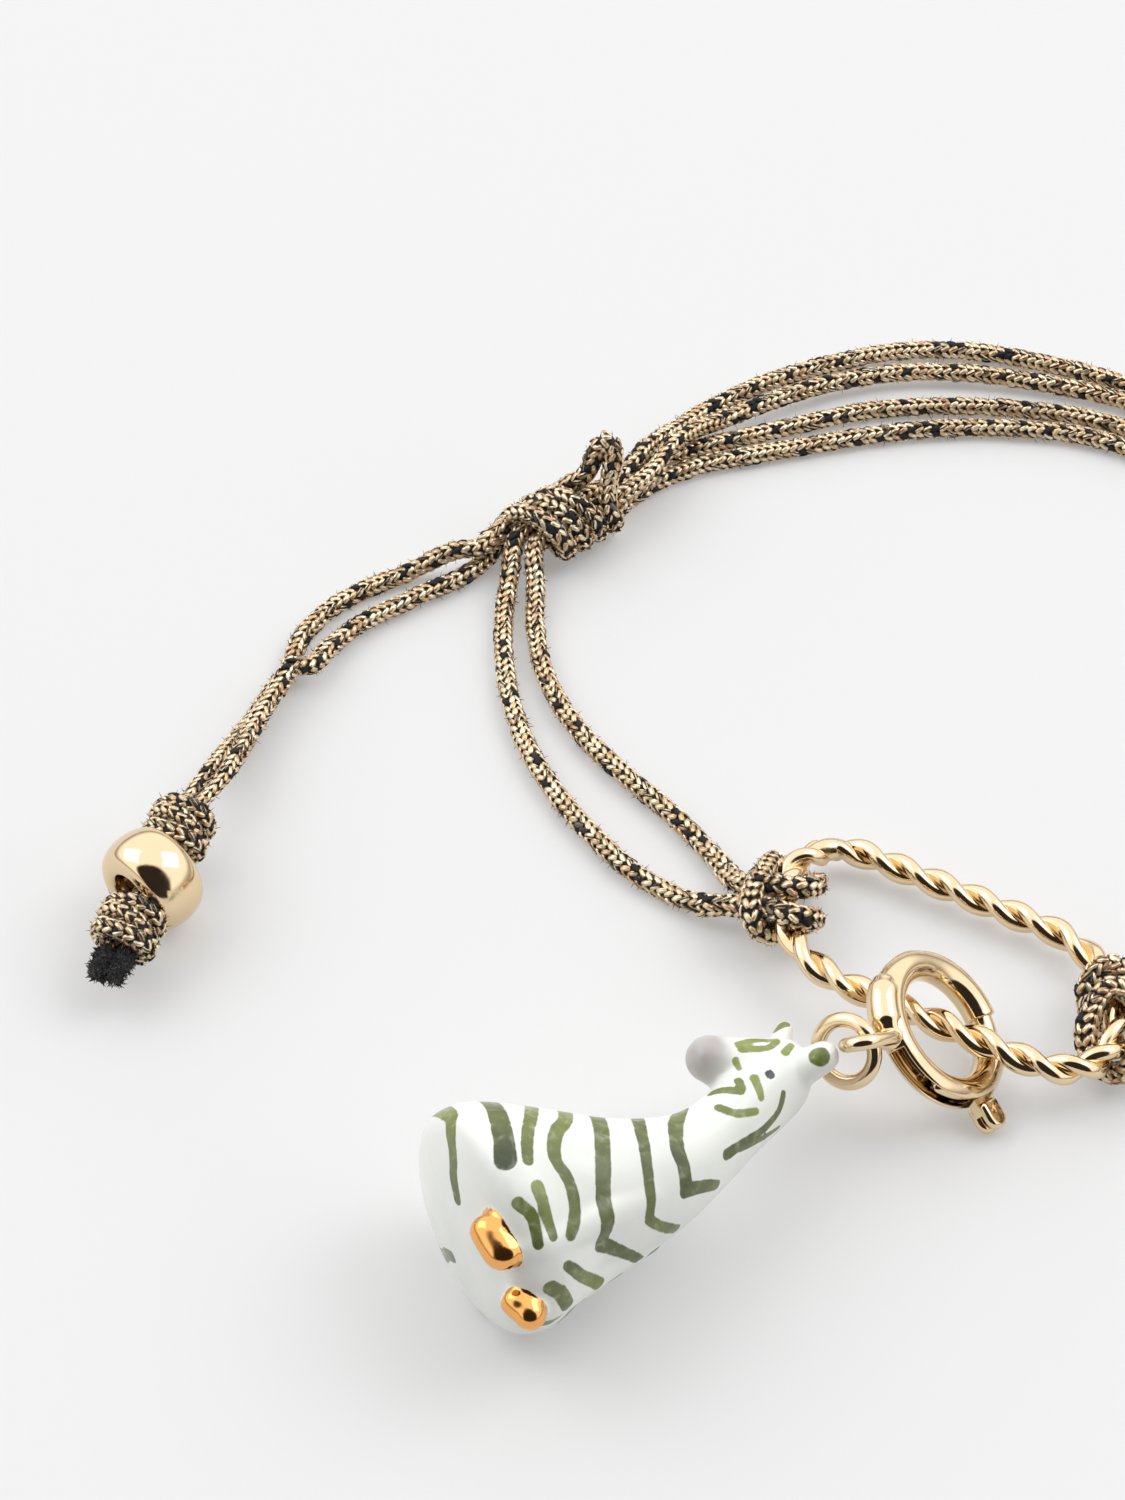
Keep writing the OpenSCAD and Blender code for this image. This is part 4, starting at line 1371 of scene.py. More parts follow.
@dataclass
class SpringRing:
    """The clasp: a hollow ring with its sleeve and eyelet, and the sprung bolt."""

    ring_d: float = 9.0
    tube_d: float = 1.7
    bore_d: float = 1.36
    bolt_d: float = 1.24
    spring_part_d: float = 0.8
    spring_part_to: Pair = (346.0, 350.0)
    gap: Pair = (8.0, 42.0)
    slot: Pair = (230.0, 332.0)
    slot_span: Pair = (-0.31, 0.62)
    sleeve: Pair = (178.0, 212.0)
    sleeve_d: float = 1.78
    sleeve_out: float = 0.45
    sleeve_taper: float = 0.14
    eyelet_angle: float = 220.0
    eyelet_twist: float = 74.0
    eyelet: Point = (3.75, 2.5, 0.8)
    eyelet_sunk: float = 0.5
    solder: tuple[Pair, ...] = ((-0.3, 0.8), (0.15, 0.66), (0.5, 0.42))
    bolt: Pair = (276.0, 408.0)
    lever_angle: float = 321.0
    lever: Point = (1.45, 1.45, 1.25)
    lever_gap: float = 0.15
    lever_foot: float = -0.19
    stem_foot: float = -1.0
    stem_half: float = 0.25
    groove: float = 0.08
    solder_sunk: float = 0.1
    stem_share: float = 0.3
    shell_steps: tuple[int, int] = (132, 26)
    shell_edge: Pair = (0.07, 50.0)
    lever_edge: Pair = (0.24, 40.0)
    frame: Matrix = field(
        default_factory=lambda: shift(-4.5, -20.13, 3.55) @ turn(-10.3, "Z") @ turn(39.7, "Y")
    )

    @property
    def middle(self) -> float:
        """Radius of the tube's middle line."""
        return (self.ring_d - self.tube_d) / 2

    def arc(self, start: float, end: float, radius: float, step: float = 3.0) -> np.ndarray:
        """Points along an arc of the ring.

        Args:
            start: first angle, in degrees.
            end: last angle.
            radius: the arc's radius.
            step: degrees between points, about.

        Returns:
            The points.
        """
        count = max(3, round((end - start) / step) + 1)
        a = np.radians(np.linspace(start, end, count))
        return np.stack([radius * np.cos(a), radius * np.sin(a), np.zeros(count)], 1)

    def shell(self, material: bpy.types.Material) -> bpy.types.Object:
        """The hollow tube with its gap and its slot.

        Args:
            material: its finish.

        Returns:
            The tube.
        """
        low, high = (math.degrees(math.asin(2 * z / self.tube_d)) for z in self.slot_span)
        along, round_it = self.shell_steps
        turns = [low, (low + high) / 2, *np.linspace(high, 360 + low, round_it)[:-1]]
        end = self.gap[0] + 360
        marks = sorted(set(np.linspace(self.gap[1], end, along).round(3)) | set(self.slot))
        r = self.tube_d / 2
        points = [
            ((self.middle + r * math.cos(math.radians(f))) * math.cos(math.radians(t)),
             (self.middle + r * math.cos(math.radians(f))) * math.sin(math.radians(t)),
             r * math.sin(math.radians(f)))
            for t in marks for f in turns
        ]
        n = len(turns)
        faces = []
        for i, (start, end) in enumerate(zip(marks, marks[1:])):
            solid = not self.slot[0] <= (start + end) / 2 <= self.slot[1]
            for k in range(0 if solid else 2, n):
                a, b = i * n, (i + 1) * n
                faces.append((a + k, b + k, b + (k + 1) % n, a + (k + 1) % n))
        shell = object_from("clasp_shell", points, faces, material)
        shell.data.shade_smooth()
        wall = (self.tube_d - self.bore_d) / 2 * MM
        modify(shell, "SOLIDIFY", thickness=wall, offset=-1.0, use_even_offset=True)
        modify(
            shell, "BEVEL", width=self.shell_edge[0] * MM, segments=3, limit_method="ANGLE",
            angle_limit=math.radians(self.shell_edge[1]), harden_normals=False,
        )
        return flattened(shell, "clasp_shell")

    def eyelet_path(self) -> list[Point]:
        """Middle line of the eyelet's wire, a long round loop out of the sleeve."""
        length, width, gauge = self.eyelet
        bend, half = (width - gauge) / 2, (length - width) / 2
        rows = []
        for end, start in ((1, -90), (-1, 90)):
            for a in np.radians(np.linspace(start, start + 180, 15)):
                rows.append((end * half + bend * math.cos(a), bend * math.sin(a), 0))
        out = self.ring_d / 2 + length / 2 - self.eyelet_sunk
        frame = turn(self.eyelet_angle, "Z") @ shift(out, 0, 0) @ turn(self.eyelet_twist, "X")
        return placed(rows, frame)

    def build_ring(self, finishes: Finishes) -> None:
        """Builds the ring with its sleeve and eyelet.

        Args:
            finishes: the finishes.
        """
        path = self.arc(*self.sleeve, self.middle + self.sleeve_out, 2.5)
        share = np.minimum(np.arange(len(path)), np.arange(len(path))[::-1]) / 2.0
        radii = self.sleeve_d / 2 - self.sleeve_taper * np.clip(1 - share, 0, 1) ** 2
        root = turn(self.eyelet_angle, "Z") @ shift(self.ring_d / 2 - self.solder_sunk, 0, 0)
        fillet = placed([(x, 0, 0) for x, _ in self.solder], root)
        eyelet_radius = self.eyelet[2] / 2
        ring = joined(
            "spring_ring",
            self.shell(finishes.plate),
            wire("clasp_sleeve", path, radii, 28, finishes.plate),
            wire("clasp_eyelet", self.eyelet_path(), eyelet_radius, 16, finishes.plate, True),
            wire("clasp_solder", fillet, [r for _, r in self.solder], 16, finishes.solder),
        )
        finish_piece(place(ring, self.frame), Body.BRACELET, Slot.GOLD, "clasp_body")

    def leaf(
        self, name: str, low: float, high: float, material: bpy.types.Material
    ) -> bpy.types.Object:
        """One side of the thumb lever's folded strip.

        Args:
            name: the object's name.
            low: its lower face's height.
            high: its upper face's height.
            material: its finish.

        Returns:
            The strip.
        """
        out, width, _ = self.lever
        half, foot = width / 2, self.lever_foot
        outline = [(foot, -half), (out - half, -half)]
        for a in np.radians(range(-75, 76, 15)):
            outline.append((out - half + half * math.cos(a), half * math.sin(a)))
        outline += [(out - half, half), (foot, half)]
        n = len(outline)
        points = [(x, y, z) for z in (low, high) for x, y in outline]
        faces = [tuple(range(n - 1, -1, -1)), tuple(range(n, 2 * n))]
        faces += [(i, (i + 1) % n, n + (i + 1) % n, n + i) for i in range(n)]
        strip = object_from(name, points, faces, material)
        strip.data.shade_smooth()
        modify(
            strip, "BEVEL", width=self.lever_edge[0] * MM, segments=5, limit_method="ANGLE",
            angle_limit=math.radians(self.lever_edge[1]),
        )
        return flattened(strip, name)

    def build_bolt(self, finishes: Finishes) -> None:
        """Builds the bolt with its thumb lever; it rides on its own body.

        Args:
            finishes: the finishes.
        """
        path = self.arc(*self.bolt, self.middle)
        start, end = self.spring_part_to
        full = np.clip((np.linspace(*self.bolt, len(path)) - start) / (end - start), 0, 1)
        radii = (self.spring_part_d + (self.bolt_d - self.spring_part_d) * full) / 2
        pin = wire("bolt_pin", path, radii, 24, finishes.plate)
        out, width, wide = self.lever
        top, half = out * self.stem_share, width / 2
        corners = ((self.stem_foot, -half), (top, -half), (top, half), (self.stem_foot, half))
        stem = object_from(
            "lever_stem",
            [(x, y, z) for z in (-self.stem_half, self.stem_half) for x, y in corners],
            [(3, 2, 1, 0), (4, 5, 6, 7), (0, 1, 5, 4), (1, 2, 6, 5), (2, 3, 7, 6), (3, 0, 4, 7)],
            finishes.plate,
        )
        parts = [
            self.leaf("lever_upper", self.groove / 2, wide / 2, finishes.plate),
            self.leaf("lever_lower", -wide / 2, -self.groove / 2, finishes.plate),
            stem,
        ]
        root = turn(self.lever_angle, "Z") @ shift(self.ring_d / 2 + self.lever_gap, 0, 0)
        piece = joined("bolt_and_lever", pin, *(place(part, root) for part in parts))
        finish_piece(place(piece, self.frame), Body.BOLT, Slot.GOLD, "clasp_bolt")


@dataclass(frozen=True)
class Stroke:
    """One painted brush stroke on the zebra, in its own frame."""

    points: tuple[Point, ...]
    half: Pair = (0.4, 0.4)
    tone: Pair = (0.3, 0.9)
    both_sides: bool = True


BODY_STROKES = (
    Stroke(
        ((0.8, 5.5, 2.6), (0.3, 3.6, 4.7), (-0.1, 2.7, 4.8), (-0.4, 1.65, 4.2), (-0.6, 0.95, 3.1),
         (-0.75, 0.2, 2.3)), (0.5, 0.36), (0.2, 0.8),
    ),
    Stroke(
        ((3.0, 5.0, 0.0), (2.8, 4.2, 3.0), (2.3, 2.4, 5.0), (1.6, 0.5, 5.8), (0.9, -1.1, 5.8)),
        (0.45, 0.55), (0.2, 1.0),
    ),
    Stroke(
        ((5.0, 3.6, 0.0), (4.7, 2.9, 3.0), (4.0, 1.7, 4.6), (2.6, -0.2, 5.6), (1.9, -1.5, 5.7)),
        (0.42, 0.3), (0.1, 0.6),
    ),
    Stroke(
        ((6.4, 2.9, 0.0), (6.2, 2.1, 2.8), (5.4, 0.7, 4.5), (4.2, -0.3, 5.1), (3.4, -1.6, 5.2),
         (3.5, -2.8, 4.6), (3.2, -4.0, 3.9), (2.5, -5.0, 3.6)), (0.4, 0.35), (0.2, 0.7),
    ),
    Stroke(
        ((7.9, 1.9, 0.0), (7.6, 1.3, 2.6), (7.0, -0.1, 4.0), (5.9, -2.1, 4.3), (5.0, -3.8, 3.5),
         (4.3, -5.0, 1.8)), (0.42, 0.45), (0.5, 0.8),
    ),
    Stroke(((4.3, -5.0, 1.8), (5.7, -5.1, 0.4), (6.9, -5.1, -1.0)), (0.42, 0.25), (0.8, 0.7)),
    Stroke(
        ((10.0, 1.1, 0.0), (9.7, 0.6, 2.2), (9.1, -0.5, 3.3), (8.4, -2.1, 3.6), (7.8, -3.6, 3.0),
         (7.3, -4.6, 1.6)), (0.38, 0.3), (0.6, 0.75),
    ),
    Stroke(((7.3, -4.6, 1.6), (7.8, -4.8, 1.0), (9.1, -4.6, -0.3)), (0.3, 0.3), (0.6, 0.4)),
    Stroke(
        ((12.6, 0.9, 0.0), (12.3, 0.6, 1.9), (11.4, -0.5, 2.6), (10.9, -1.1, 2.9),
         (10.2, -2.3, 3.0), (10.1, -3.1, 2.6), (9.8, -4.0, 1.7)), (0.4, 0.42), (0.5, 0.8),
    ),
    Stroke(((9.8, -4.0, 1.7), (11.0, -3.9, 1.2), (12.0, -3.7, 0.5)), (0.42, 0.3), (0.8, 0.6)),
    Stroke(
        ((17.7, -0.8, 1.5), (17.1, -1.4, 1.0), (15.9, -1.9, 0.8), (14.3, -2.5, 1.2),
         (13.0, -2.9, 1.5)), (0.18, 0.32), (0.7, 0.8),
    ),
    Stroke(((17.2, -1.6, -0.1), (15.9, -2.0, 0.3), (14.0, -2.6, 1.1)), (0.15, 0.2), (0.6, 0.6)),
    Stroke(((0.5, -3.1, 5.0), (0.9, -3.9, 4.6), (0.6, -5.0, 3.9)), (0.34, 0.3), (0.4, 0.8)),
    Stroke(((1.7, -2.8, 5.2), (1.6, -3.9, 4.6), (1.5, -5.0, 4.0)), (0.36, 0.26), (0.2, 0.7)),
    Stroke(((2.0, -5.6, 2.2), (2.9, -5.7, 0.9), (4.0, -5.7, -0.4)), (0.3, 0.36), (0.8, 0.3)),
    Stroke(((1.0, -5.9, 1.4), (1.5, -6.1, 0.8), (1.9, -6.2, -0.2)), (0.42, 0.4), (0.5, 0.6)),
)
HEAD_STROKES = (
    Stroke(
        ((17.0, 2.5, 2.2), (18.2, 2.5, 1.9), (19.0, 2.0, 1.9), (18.3, 1.7, 2.2),
         (17.0, 2.2, 2.2)), (0.24, 0.24), (0.05, 0.15), False,
    ),
    Stroke(((18.9, 1.0, 2.2), (19.6, 1.4, 2.0)), (0.24, 0.18), (0.0, 0.05), False),
    Stroke(
        ((14.3, 0.7, 1.8), (15.4, -0.2, 2.3), (15.7, 0.5, 2.2)), (0.3, 0.22), (0.4, 0.35), False
    ),
    Stroke(((16.5, 0.2, 2.3), (16.3, -0.9, 2.0)), (0.26, 0.2), (0.05, 0.15), False),
    Stroke(
        ((13.8, -0.7, 2.4), (14.5, -1.3, 2.2), (15.7, -1.4, 1.8)), (0.28, 0.2), (0.4, 0.1), False
    ),
    Stroke(((16.4, 1.8, 2.0), (16.3, 1.2, 2.0)), (0.2, 0.16), (0.1, 0.1), False),
    Stroke(((20.2, -0.1, 2.45), (20.3, -0.2, 2.4)), (0.52, 0.52), (0.35, 0.6), False),
    Stroke(((20.4, 4.0, 0.3), (21.2, 4.0, 0.3)), (0.3, 0.3), (0.2, 0.4), False),
)


def from_segment(
    points: np.ndarray, start: Sequence[float], end: Sequence[float]
) -> tuple[np.ndarray, np.ndarray]:
    """Measures points from the nearest place on a segment.

    Args:
        points: the points.
        start: the segment's start.
        end: its end.

    Returns:
        The share of that place along the segment, and the way from it to the point.
    """
    a = np.array(start)
    d = np.array(end) - a
    t = np.clip((points - a) @ d / max(d @ d, 1e-9), 0, 1)
    return t, points - a - t[:, None] * d


@dataclass
class Zebra:
    """The seated zebra: its body, legs and head, and the paint on the glaze."""

    yaw: float = 30.0
    fall: float = 5.0
    at: Point = (-29.0, -34.5, 6.1)
    voxel: float = 0.16
    smoothing: int = 10
    rows: tuple[tuple[float, ...], ...] = (
        (0.0, 0, 0, 5.0, 5.0), (0.1, 0, 0, 5.45, 5.45), (0.4, -0.1, 0, 5.85, 5.85),
        (1.0, -0.15, 0, 6.0, 5.95), (1.8, -0.2, 0, 6.0, 5.9),
        (3.0, -0.25, 0, 5.6, 5.5), (4.5, -0.45, 0.1, 4.85, 4.9), (6.0, -0.85, 0.1, 4.3, 4.4),
        (8.0, -1.35, 0.1, 3.55, 3.7), (10.0, -1.55, 0.1, 2.9, 3.1), (12.0, -1.4, 0.05, 2.35, 2.6),
        (14.0, -0.8, 0, 2.1, 2.35), (16.0, 0.1, 0, 2.15, 2.3), (18.0, 0.9, 0, 2.2, 2.3),
        (19.5, 1.25, 0, 1.9, 2.1), (20.4, 1.35, 0, 1.2, 1.4),
    )
    limbs: tuple[tuple[Point, float, Point, float], ...] = (
        ((1.2, -4.3, 3.0), 1.2, (8.0, -3.2, 1.7), 1.2),
        ((1.2, -5.2, -0.4), 1.2, (8.0, -3.6, -0.9), 1.2),
        ((2.3, 3.3, 1.9), 1.7, (4.4, 2.8, 1.5), 1.4),
        ((-0.45, -2.8, 3.35), 0.82, (-0.5, -4.1, 2.95), 0.86),
        ((-0.15, -5.4, 0.25), 0.88, (-0.15, -6.1, 0.15), 0.85),
        ((18.3, 1.4, 0.1), 2.1, (15.7, 3.1, 1.15), 1.26),
        ((19.3, 0.4, 1.0), 1.0, (20.8, 0.15, 1.75), 0.85),
        ((19.3, 2.3, -0.2), 0.85, (21.1, 3.9, -0.2), 0.5),
    )
    eye: Point = (17.4, 0.1, 2.2)
    eye_size: Pair = (0.27, 0.12)
    muzzle: Point = (15.6, 3.3, 1.3)
    muzzle_size: Pair = (1.5, 0.7)
    muzzle_to: Pair = (17.0, 0.8)
    hooves: tuple[tuple[Point, Point], ...] = (
        ((-0.8, -2.8, 3.4), (-0.8, -4.15, 2.95)), ((-0.3, -5.5, 0.25), (-0.3, -6.2, 0.15)),
    )
    hoof_size: Pair = (1.02, 0.12)
    fold: float = -0.9
    dome: float = 1.0
    dome_reach: float = 1.6
    rim: float = 6.0
    stroke_edge: float = 0.24
    stroke_depth: float = 1.0

    def body(self) -> bpy.types.Object:
        """The body as a stack of smooth rings."""
        angles = np.linspace(0, 2 * math.pi, 64, endpoint=False)
        rings = [
            [(x, y + a * math.cos(t), z + b * math.sin(t)) for t in angles]
            for x, y, z, a, b in smooth_path(self.rows, 4)
        ]
        return skin("zebra_body", rings)

    def limb(self, a: Point, ra: float, b: Point, rb: float) -> bpy.types.Object:
        """A tapered limb with round ends.

        Args:
            a: the middle of its first ball.
            ra: that ball's radius.
            b: the middle of its second ball.
            rb: that ball's radius.

        Returns:
            The limb.
        """
        start, end = np.array(a), np.array(b)
        share = np.linspace(0, 1, 5)
        path = start + (end - start) * share[:, None]
        return wire("zebra_limb", path, ra + (rb - ra) * share, 28)

    def build(self, finishes: Finishes) -> None:
        """Builds and paints the zebra.

        Args:
            finishes: the finishes.
        """
        raw = joined("zebra_raw", self.body(), *(self.limb(*limb) for limb in self.limbs))
        modify(raw, "REMESH", mode="VOXEL", voxel_size=self.voxel * MM, use_smooth_shade=True)
        modify(raw, "SMOOTH", factor=0.5, iterations=self.smoothing)
        figure = flattened(raw, "glazed_zebra")
        self.swell(figure.data)
        self.paint(figure.data)
        figure.data.materials.clear()
        figure.data.materials.append(finishes.glaze)
        figure.data.shade_smooth()
        frame = shift(*self.at) @ turn(self.yaw, "Z") @ turn(self.fall, "Y")
        finish_piece(place(figure, frame), Body.BRACELET, Slot.PORCELAIN, "zebra_charm")

    @staticmethod
    def read(rows: bpy.types.bpy_prop_collection, key: str) -> np.ndarray:
        """Reads a vector from each of a mesh's vertices.

        Args:
            rows: the mesh's vertices or their normals.
            key: the vector's name.

        Returns:
            The vectors, one a row.
        """
        values = np.zeros(len(rows) * 3)
        rows.foreach_get(key, values)
        return values.reshape(-1, 3)

    def swell(self, mesh: bpy.types.Mesh) -> None:
        """Rounds the flat base into a low dome.

        Args:
            mesh: the zebra's mesh, in its own frame.
        """
        points = self.read(mesh.vertices, "co") / MM
        radius = np.linalg.norm(points[:, 1:], axis=1)
        inner = np.clip(1 - (radius / self.rim) ** 2, 0, 1)
        near = np.clip(1 - points[:, 0] / self.dome_reach, 0, 1)
        points[:, 0] -= self.dome * inner * near
        mesh.vertices.foreach_set("co", (points * MM).ravel())
        mesh.update()

    def paint(self, mesh: bpy.types.Mesh) -> None:
        """Leaves the painted areas on the surface as attributes.

        Args:
            mesh: the zebra's mesh, in its own frame.
        """
        points = self.read(mesh.vertices, "co") / MM
        normals = self.read(mesh.vertex_normals, "vector")
        stripe, tone = np.zeros(len(points)), np.zeros(len(points))
        for stroke in BODY_STROKES + HEAD_STROKES:
            for side in (1.0, -1.0) if stroke.both_sides else (1.0,):
                self._brush(stroke, side, points, normals, stripe, tone)
        grey = self._spot(points, self.muzzle, self.muzzle, *self.muzzle_size)
        end, soft = self.muzzle_to
        masks = {
            "stripe": stripe, "stripe_tone": tone,
            "ink": self._spot(points, self.eye, self.eye, *self.eye_size),
            "muzzle": grey * np.clip((end - points[:, 0]) / soft, 0, 1),
            "lustre": np.max(
                [self._spot(points, a, b, *self.hoof_size) for a, b in self.hooves], axis=0
            ),
        }
        for name, values in masks.items():
            values = values.astype(np.float32)
            mesh.attributes.new(name, "FLOAT", "POINT").data.foreach_set("value", values)

    @staticmethod
    def _spot(
        points: np.ndarray, start: Point, end: Point, radius: float, soft: float
    ) -> np.ndarray:
        """Cover of a round-ended bar, 1 inside and 0 outside."""
        away = np.linalg.norm(from_segment(points, start, end)[1], axis=1)
        return np.clip((radius - away) / soft + 0.5, 0, 1)

    def _brush(
        self, stroke: Stroke, side: float, points: np.ndarray, normals: np.ndarray,
        stripe: np.ndarray, tone: np.ndarray,
    ) -> None:
        """Lays one stroke on the surface.

        Args:
            stroke: the stroke.
            side: 1 for the side on top, -1 for its mirror image below.
            points: the surface points.
            normals: their normals.
            stripe: the cover so far, changed in place.
            tone: the tone so far, changed in place.
        """
        open_to = points[:, 2] < self.fold if side < 0 else points[:, 2] > self.fold
        line = np.array(stroke.points) * (1.0, 1.0, side)
        line = smooth_path(line, 3) if len(line) > 2 else line
        total = len(line) - 1
        for i in range(total):
            t, away = from_segment(points, line[i], line[i + 1])
            depth = (away * normals).sum(1)
            flat = np.linalg.norm(away - depth[:, None] * normals, axis=1)
            share = (i + t) / total
            half = stroke.half[0] + (stroke.half[1] - stroke.half[0]) * share
            cover = np.clip((half - flat) / self.stroke_edge + 0.5, 0, 1)
            cover = cover * (np.abs(depth) < self.stroke_depth) * open_to
            better = cover > stripe
            stripe[better] = cover[better]
            shade = stroke.tone[0] + (stroke.tone[1] - stroke.tone[0]) * share
            tone[better] = shade[better]


@dataclass
class SmallRings:
    """The jump ring and the charm's eye."""

    jump_d: float = 4.15
    jump_wire: float = 0.82
    jump_at: Point = (-9.72, -22.99, 5.3)
    jump_normal: Point = (-0.557, -0.636, 0.535)
    eye_d: float = 2.2
    eye_wire: float = 0.5
    eye_at: Point = (-11.27, -22.6, 4.38)
    eye_roll: float = -36.0
    stem: Pair = (1.0, 0.7)
    stem_taper: float = 0.85

    @staticmethod
    def circle(radius: float, count: int) -> np.ndarray:
        """Points round a circle in its own plane."""
        a = np.linspace(0, 2 * math.pi, count, endpoint=False)
        return np.stack([radius * np.cos(a), radius * np.sin(a), np.zeros(count)], 1)

    def build(self, finishes: Finishes) -> None:
        """Builds both rings.

        Args:
            finishes: the finishes.
        """
        path = self.circle((self.jump_d - self.jump_wire) / 2, 72)
        ring = wire("jump_ring_wire", path, self.jump_wire / 2, 18, finishes.plate, True)
        x, y, z = self.jump_normal
        tilt = math.degrees(math.acos(z / math.sqrt(x * x + y * y + z * z)))
        side = math.degrees(math.atan2(y, x))
        frame = shift(*self.jump_at) @ turn(side, "Z") @ turn(tilt, "Y")
        finish_piece(place(ring, frame), Body.BRACELET, Slot.GOLD, "jump_ring")
        path = self.circle((self.eye_d - self.eye_wire) / 2, 48)
        loop = wire("eye_loop", path, self.eye_wire / 2, 16, finishes.plate, True)
        length, thick = self.stem
        foot = self.eye_wire / 2 - self.eye_d / 2
        path = [(foot - length, 0, 0), (foot - length / 2, 0, 0), (foot, 0, 0)]
        radii = [thick / 2, thick / 2, thick / 2 * self.stem_taper]
        stem = wire("eye_stem", path, radii, 16, finishes.plate)
        frame = shift(*self.eye_at) @ turn(Zebra.yaw, "Z") @ turn(Zebra.fall, "Y")
        eye = place(joined("charm_eye_wire", loop, stem), frame @ turn(self.eye_roll, "X"))
        finish_piece(eye, Body.BRACELET, Slot.GOLD, "charm_eye")


@dataclass
class Beads:
    """The two plated barrel beads with wide holes."""

    outer: float = 5.9
    length: float = 3.4
    hole: float = 2.7
    lip: float = 0.25
    lip_inset: float = 0.08
    lip_drop: Pair = (0.05, 0.2)
    belly: float = 0.6
    around: int = 64
    skew: float = 25.0

    def outline(self) -> list[Pair]:
        """The bead's section: distance from the axis and place along it."""
        wall = (self.outer - self.hole) / 2 - self.lip
        bore, end = self.hole / 2, self.length / 2
        rows = []
        for a in np.radians(np.linspace(-90, 90, 25)):
            out = bore + self.lip + wall * abs(math.cos(a)) ** self.belly
            rows.append((out, end * math.sin(a)))
        edge, inner = (end - drop for drop in self.lip_drop)
        rows.append((bore + self.lip_inset, edge))
        rows += [(bore, inner * s) for s in (1.0, 0.5, 0.0, -0.5, -1.0)]
        return rows + [(bore + self.lip_inset, -edge)]

    def build(self, finishes: Finishes) -> None:
        """Builds both beads.

        Args:
            finishes: the finishes.
        """
        angles = [2 * math.pi * k / self.around for k in range(self.around)]
        rings = [
            [(along, r * math.cos(a), r * math.sin(a)) for r, along in self.outline()]
            for a in angles
        ]
        frames = (("left", LEFT_BEAD, -self.skew), ("right", RIGHT_BEAD, self.skew))
        for hand, frame, skew in frames:
            bead = skin(f"plated_bead_{hand}", rings, True, finishes.plate)
            place(bead, frame @ turn(skew, "Z"))
            finish_piece(bead, Body.BRACELET, Slot.GOLD, f"bead_{hand}")


@dataclass
class FrayedEnds:
    """Dark frayed clumps at the cut ends of the tails."""

    radius: float = 0.6
    inside: float = 0.25
    reach: float = 0.85
    taper: float = 0.85
    fibre: Pair = (0.36, 0.05)
    fibre_tip: float = 0.008
    lean: float = 1.0
    stretch: Pair = (0.5, 1.2)
    density: float = 55.0
    lumps: float = 0.7
    lump_scale: float = 1500.0
    rings: int = 6

    def inputs(self, seed: int, yarn: bpy.types.Material) -> dict[str, object]:
        """Values for the tree's inputs.

        Args:
            seed: picks the fibres.
            yarn: their finish.

        Returns:
            The values by the input's name.
        """
        return {
            "Fibre Length": self.fibre[0] * MM, "Fibre Radius": self.fibre[1] * MM,
            "Fibre Density": self.density / MM**2, "Lumps": self.lumps * MM, "Seed": seed,
            "Yarn": yarn,
        }

    def tree(self, inputs: dict[str, object]) -> bpy.types.GeometryNodeTree:
        """Makes a ball lumpy and sets short fibres all over it.

        Args:
            inputs: values for the tree's named inputs.

        Returns:
            The tree.
        """
        s, g = NodeSheet.geometry("frayed_end", inputs)
        offset = s.unevenness(self.lump_scale, 3.0, g["Lumps"])
        lumps = {"Geometry": g["Geometry"], "Offset": offset}
        clump = s.add("GeometryNodeSetPosition", lumps)
        tip = self.fibre_tip * MM
        cone = {"Vertices": 4, "Radius Top": tip, "Radius Bottom": g["Fibre Radius"]}
        whole = s.join(clump, s.fibres(clump, g, cone, self.lean, self.stretch))
        real = s.add("GeometryNodeRealizeInstances", {"Geometry": whole})
        dressed = s.add("GeometryNodeSetMaterial", {"Geometry": real, "Material": g["Yarn"]})
        s.add("NodeGroupOutput", {"Geometry": dressed})
        return s.tree

    def build(self, finishes: Finishes) -> None:
        """Builds a clump at the end of each tail.

        Args:
            finishes: the finishes.
        """
        tree = self.tree(self.inputs(0, finishes.yarn))
        for seed, (node, route) in enumerate(TAIL_ROUTES.items()):
            end = np.array(route[-1])
            ahead = (end - np.array(route[-2])) / np.linalg.norm(end - np.array(route[-2]))
            path = end + ahead * np.linspace(-self.inside, self.reach, self.rings)[:, None]
            radii = self.radius * np.linspace(1.0, self.taper, self.rings)
            ball = wire(node + "_ball", path, radii, 24)
            clump = with_tree(ball, tree, self.inputs(seed, finishes.yarn), "frayed_" + node)
            finish_piece(clump, Body.BRACELET, Slot.CORD)


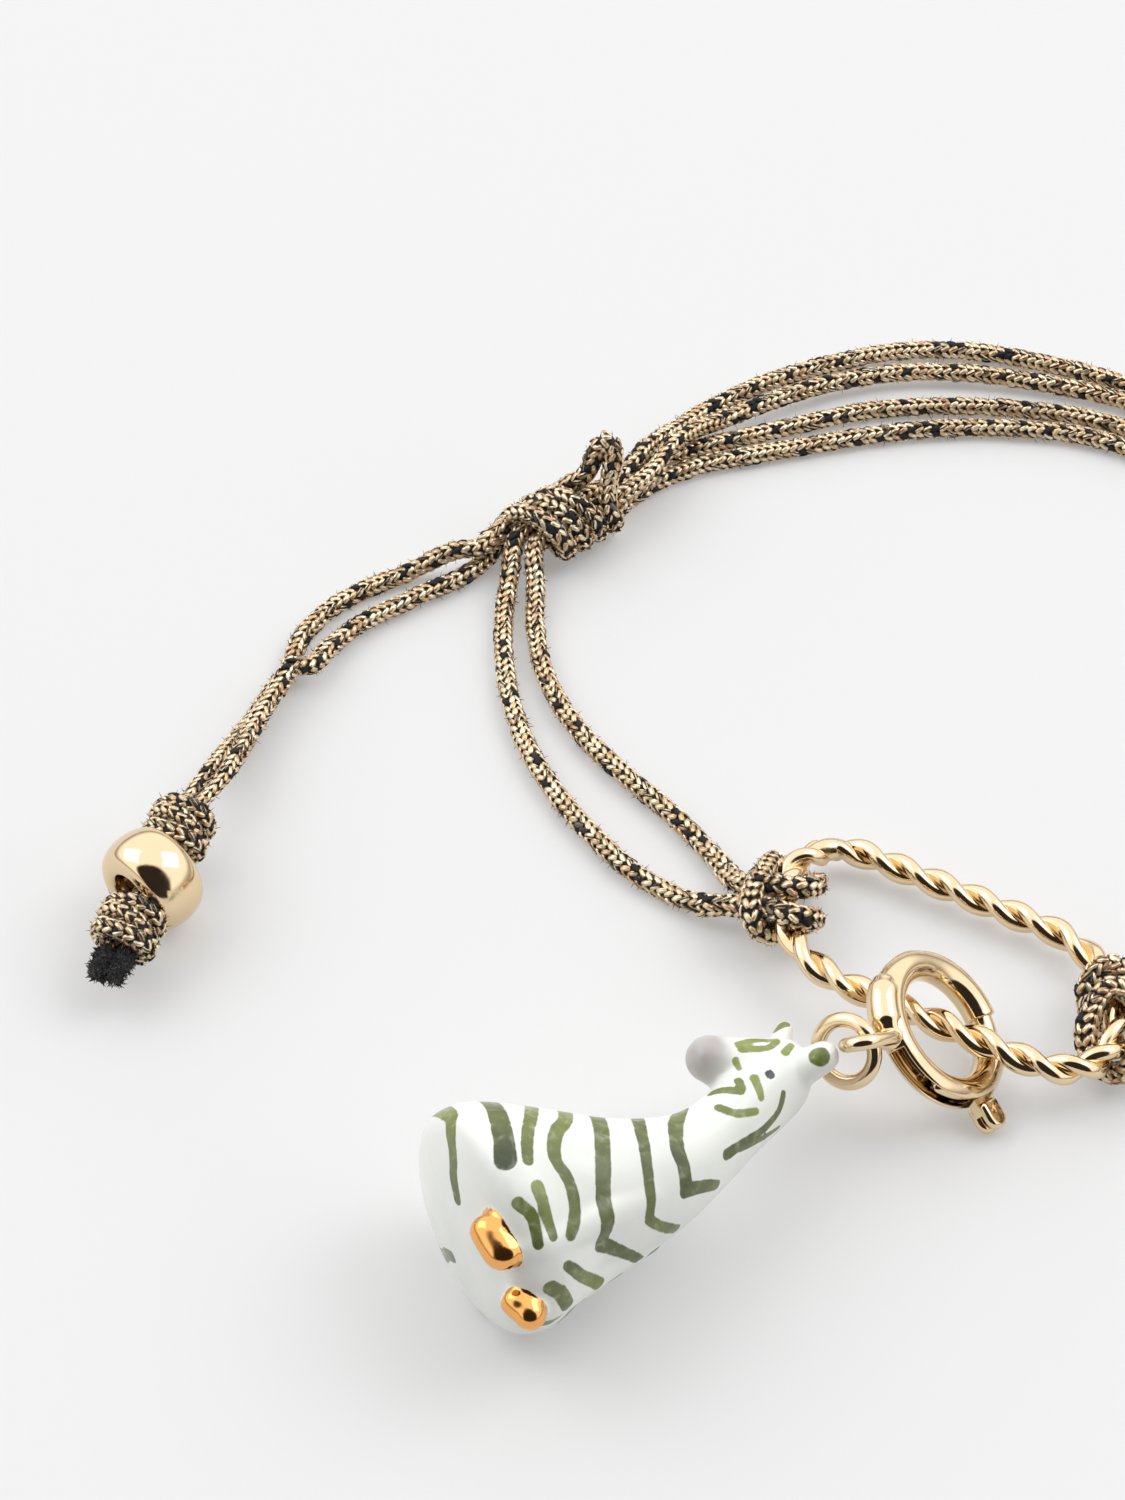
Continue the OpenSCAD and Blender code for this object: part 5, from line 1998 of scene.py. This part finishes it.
@dataclass
class Studio:
    """Camera, floor and soft light."""

    target: Point = (-24.5, 3.4, 0.0)
    camera_at: Point = (-24.5, -133.0, 146.3)
    focal: float = 3420.0
    picture_height: float = 1500.0
    sensor: float = 36.0
    floor_reach: float = 900.0
    windows: tuple[tuple[str, Point, float, float, Point], ...] = (
        ("window_left", (-1150, 420, 1240), 1150, 6.0, (-20, 0, 0)),
        ("window_right", (900, 300, 1150), 800, 5.0, (-10, 0, 0)),
    )
    sky: Colour = (1.0, 1.0, 1.0)
    low_sky: Colour = (0.34, 0.31, 0.28)
    low_from: Pair = (0.03, 0.3)
    dark_sky: Colour = (0.025, 0.02, 0.018)
    dark_rise: float = 0.45
    dark_from: Pair = (0.62, 0.72)
    brightness: float = 1.35

    def camera(self) -> None:
        """Sets up the camera."""
        data = bpy.data.cameras.new("camera")
        data.sensor_width = self.sensor
        data.lens = self.focal / self.picture_height * self.sensor
        data.sensor_fit = "AUTO"
        data.clip_start = 0.01
        camera = linked("camera", data)
        self.aim(camera, self.camera_at, self.target)
        bpy.context.scene.camera = camera

    @staticmethod
    def aim(thing: bpy.types.Object, at: Point, target: Point) -> None:
        """Puts a camera or lamp at a place and points it at another, in millimetres."""
        thing.location = Vector(at) * MM
        thing.rotation_euler = (Vector(target) - Vector(at)).to_track_quat("-Z", "Y").to_euler()

    def floor(self, finishes: Finishes) -> None:
        """Lays the pale surface.

        Args:
            finishes: the finishes.
        """
        r = self.floor_reach
        corners = [(-r, -r, 0), (r, -r, 0), (r, r, 0), (-r, r, 0)]
        surface = object_from("pale_surface", corners, [(0, 1, 2, 3)], finishes.paper)

    def light(self) -> None:
        """Sets the lights and the bright, slightly uneven surroundings."""
        for name, at, size, power, target in self.windows:
            data = bpy.data.lights.new(name, "AREA")
            data.size = size * MM
            data.energy = power
            self.aim(linked(name, data), at, target)
        world = bpy.data.worlds.new("surroundings")
        world.use_nodes = True
        bpy.context.scene.world = world
        s = NodeSheet(world.node_tree)
        way = s.out(s.add("ShaderNodeTexCoord"), "Generated")
        height = s.out(s.add("ShaderNodeSeparateXYZ", {"Vector": way}), "Z")
        toward = Vector(self.camera_at) - Vector(self.target)
        toward = Vector((toward.x, toward.y, self.dark_rise * toward.length)).normalized()
        near = s.out(s.vector_math("DOT_PRODUCT", way, tuple(toward)), "Value")
        colour = s.mix(s.span(height, *self.low_from, 1.0, 0.0), self.sky, self.low_sky)
        colour = s.mix(s.span(near, *self.dark_from), colour, self.dark_sky)
        back = world.node_tree.nodes["Background"]
        s.put(back, "Color", colour)
        s.put(back, "Strength", self.brightness)
        bpy.context.scene.view_settings.view_transform = "Standard"


def main() -> None:
    """Builds the dressed bracelet."""
    logging.basicConfig(level=logging.INFO, format="%(message)s")
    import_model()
    finishes = Finishes()
    studio = Studio()
    studio.camera()
    Cords(Knitting(finishes)).build()
    RopeLink().build(finishes)
    clasp = SpringRing()
    clasp.build_ring(finishes)
    clasp.build_bolt(finishes)
    SmallRings().build(finishes)
    Beads().build(finishes)
    Zebra().build(finishes)
    FrayedEnds().build(finishes)
    studio.floor(finishes)
    studio.light()


if __name__ == "__main__":
    main()
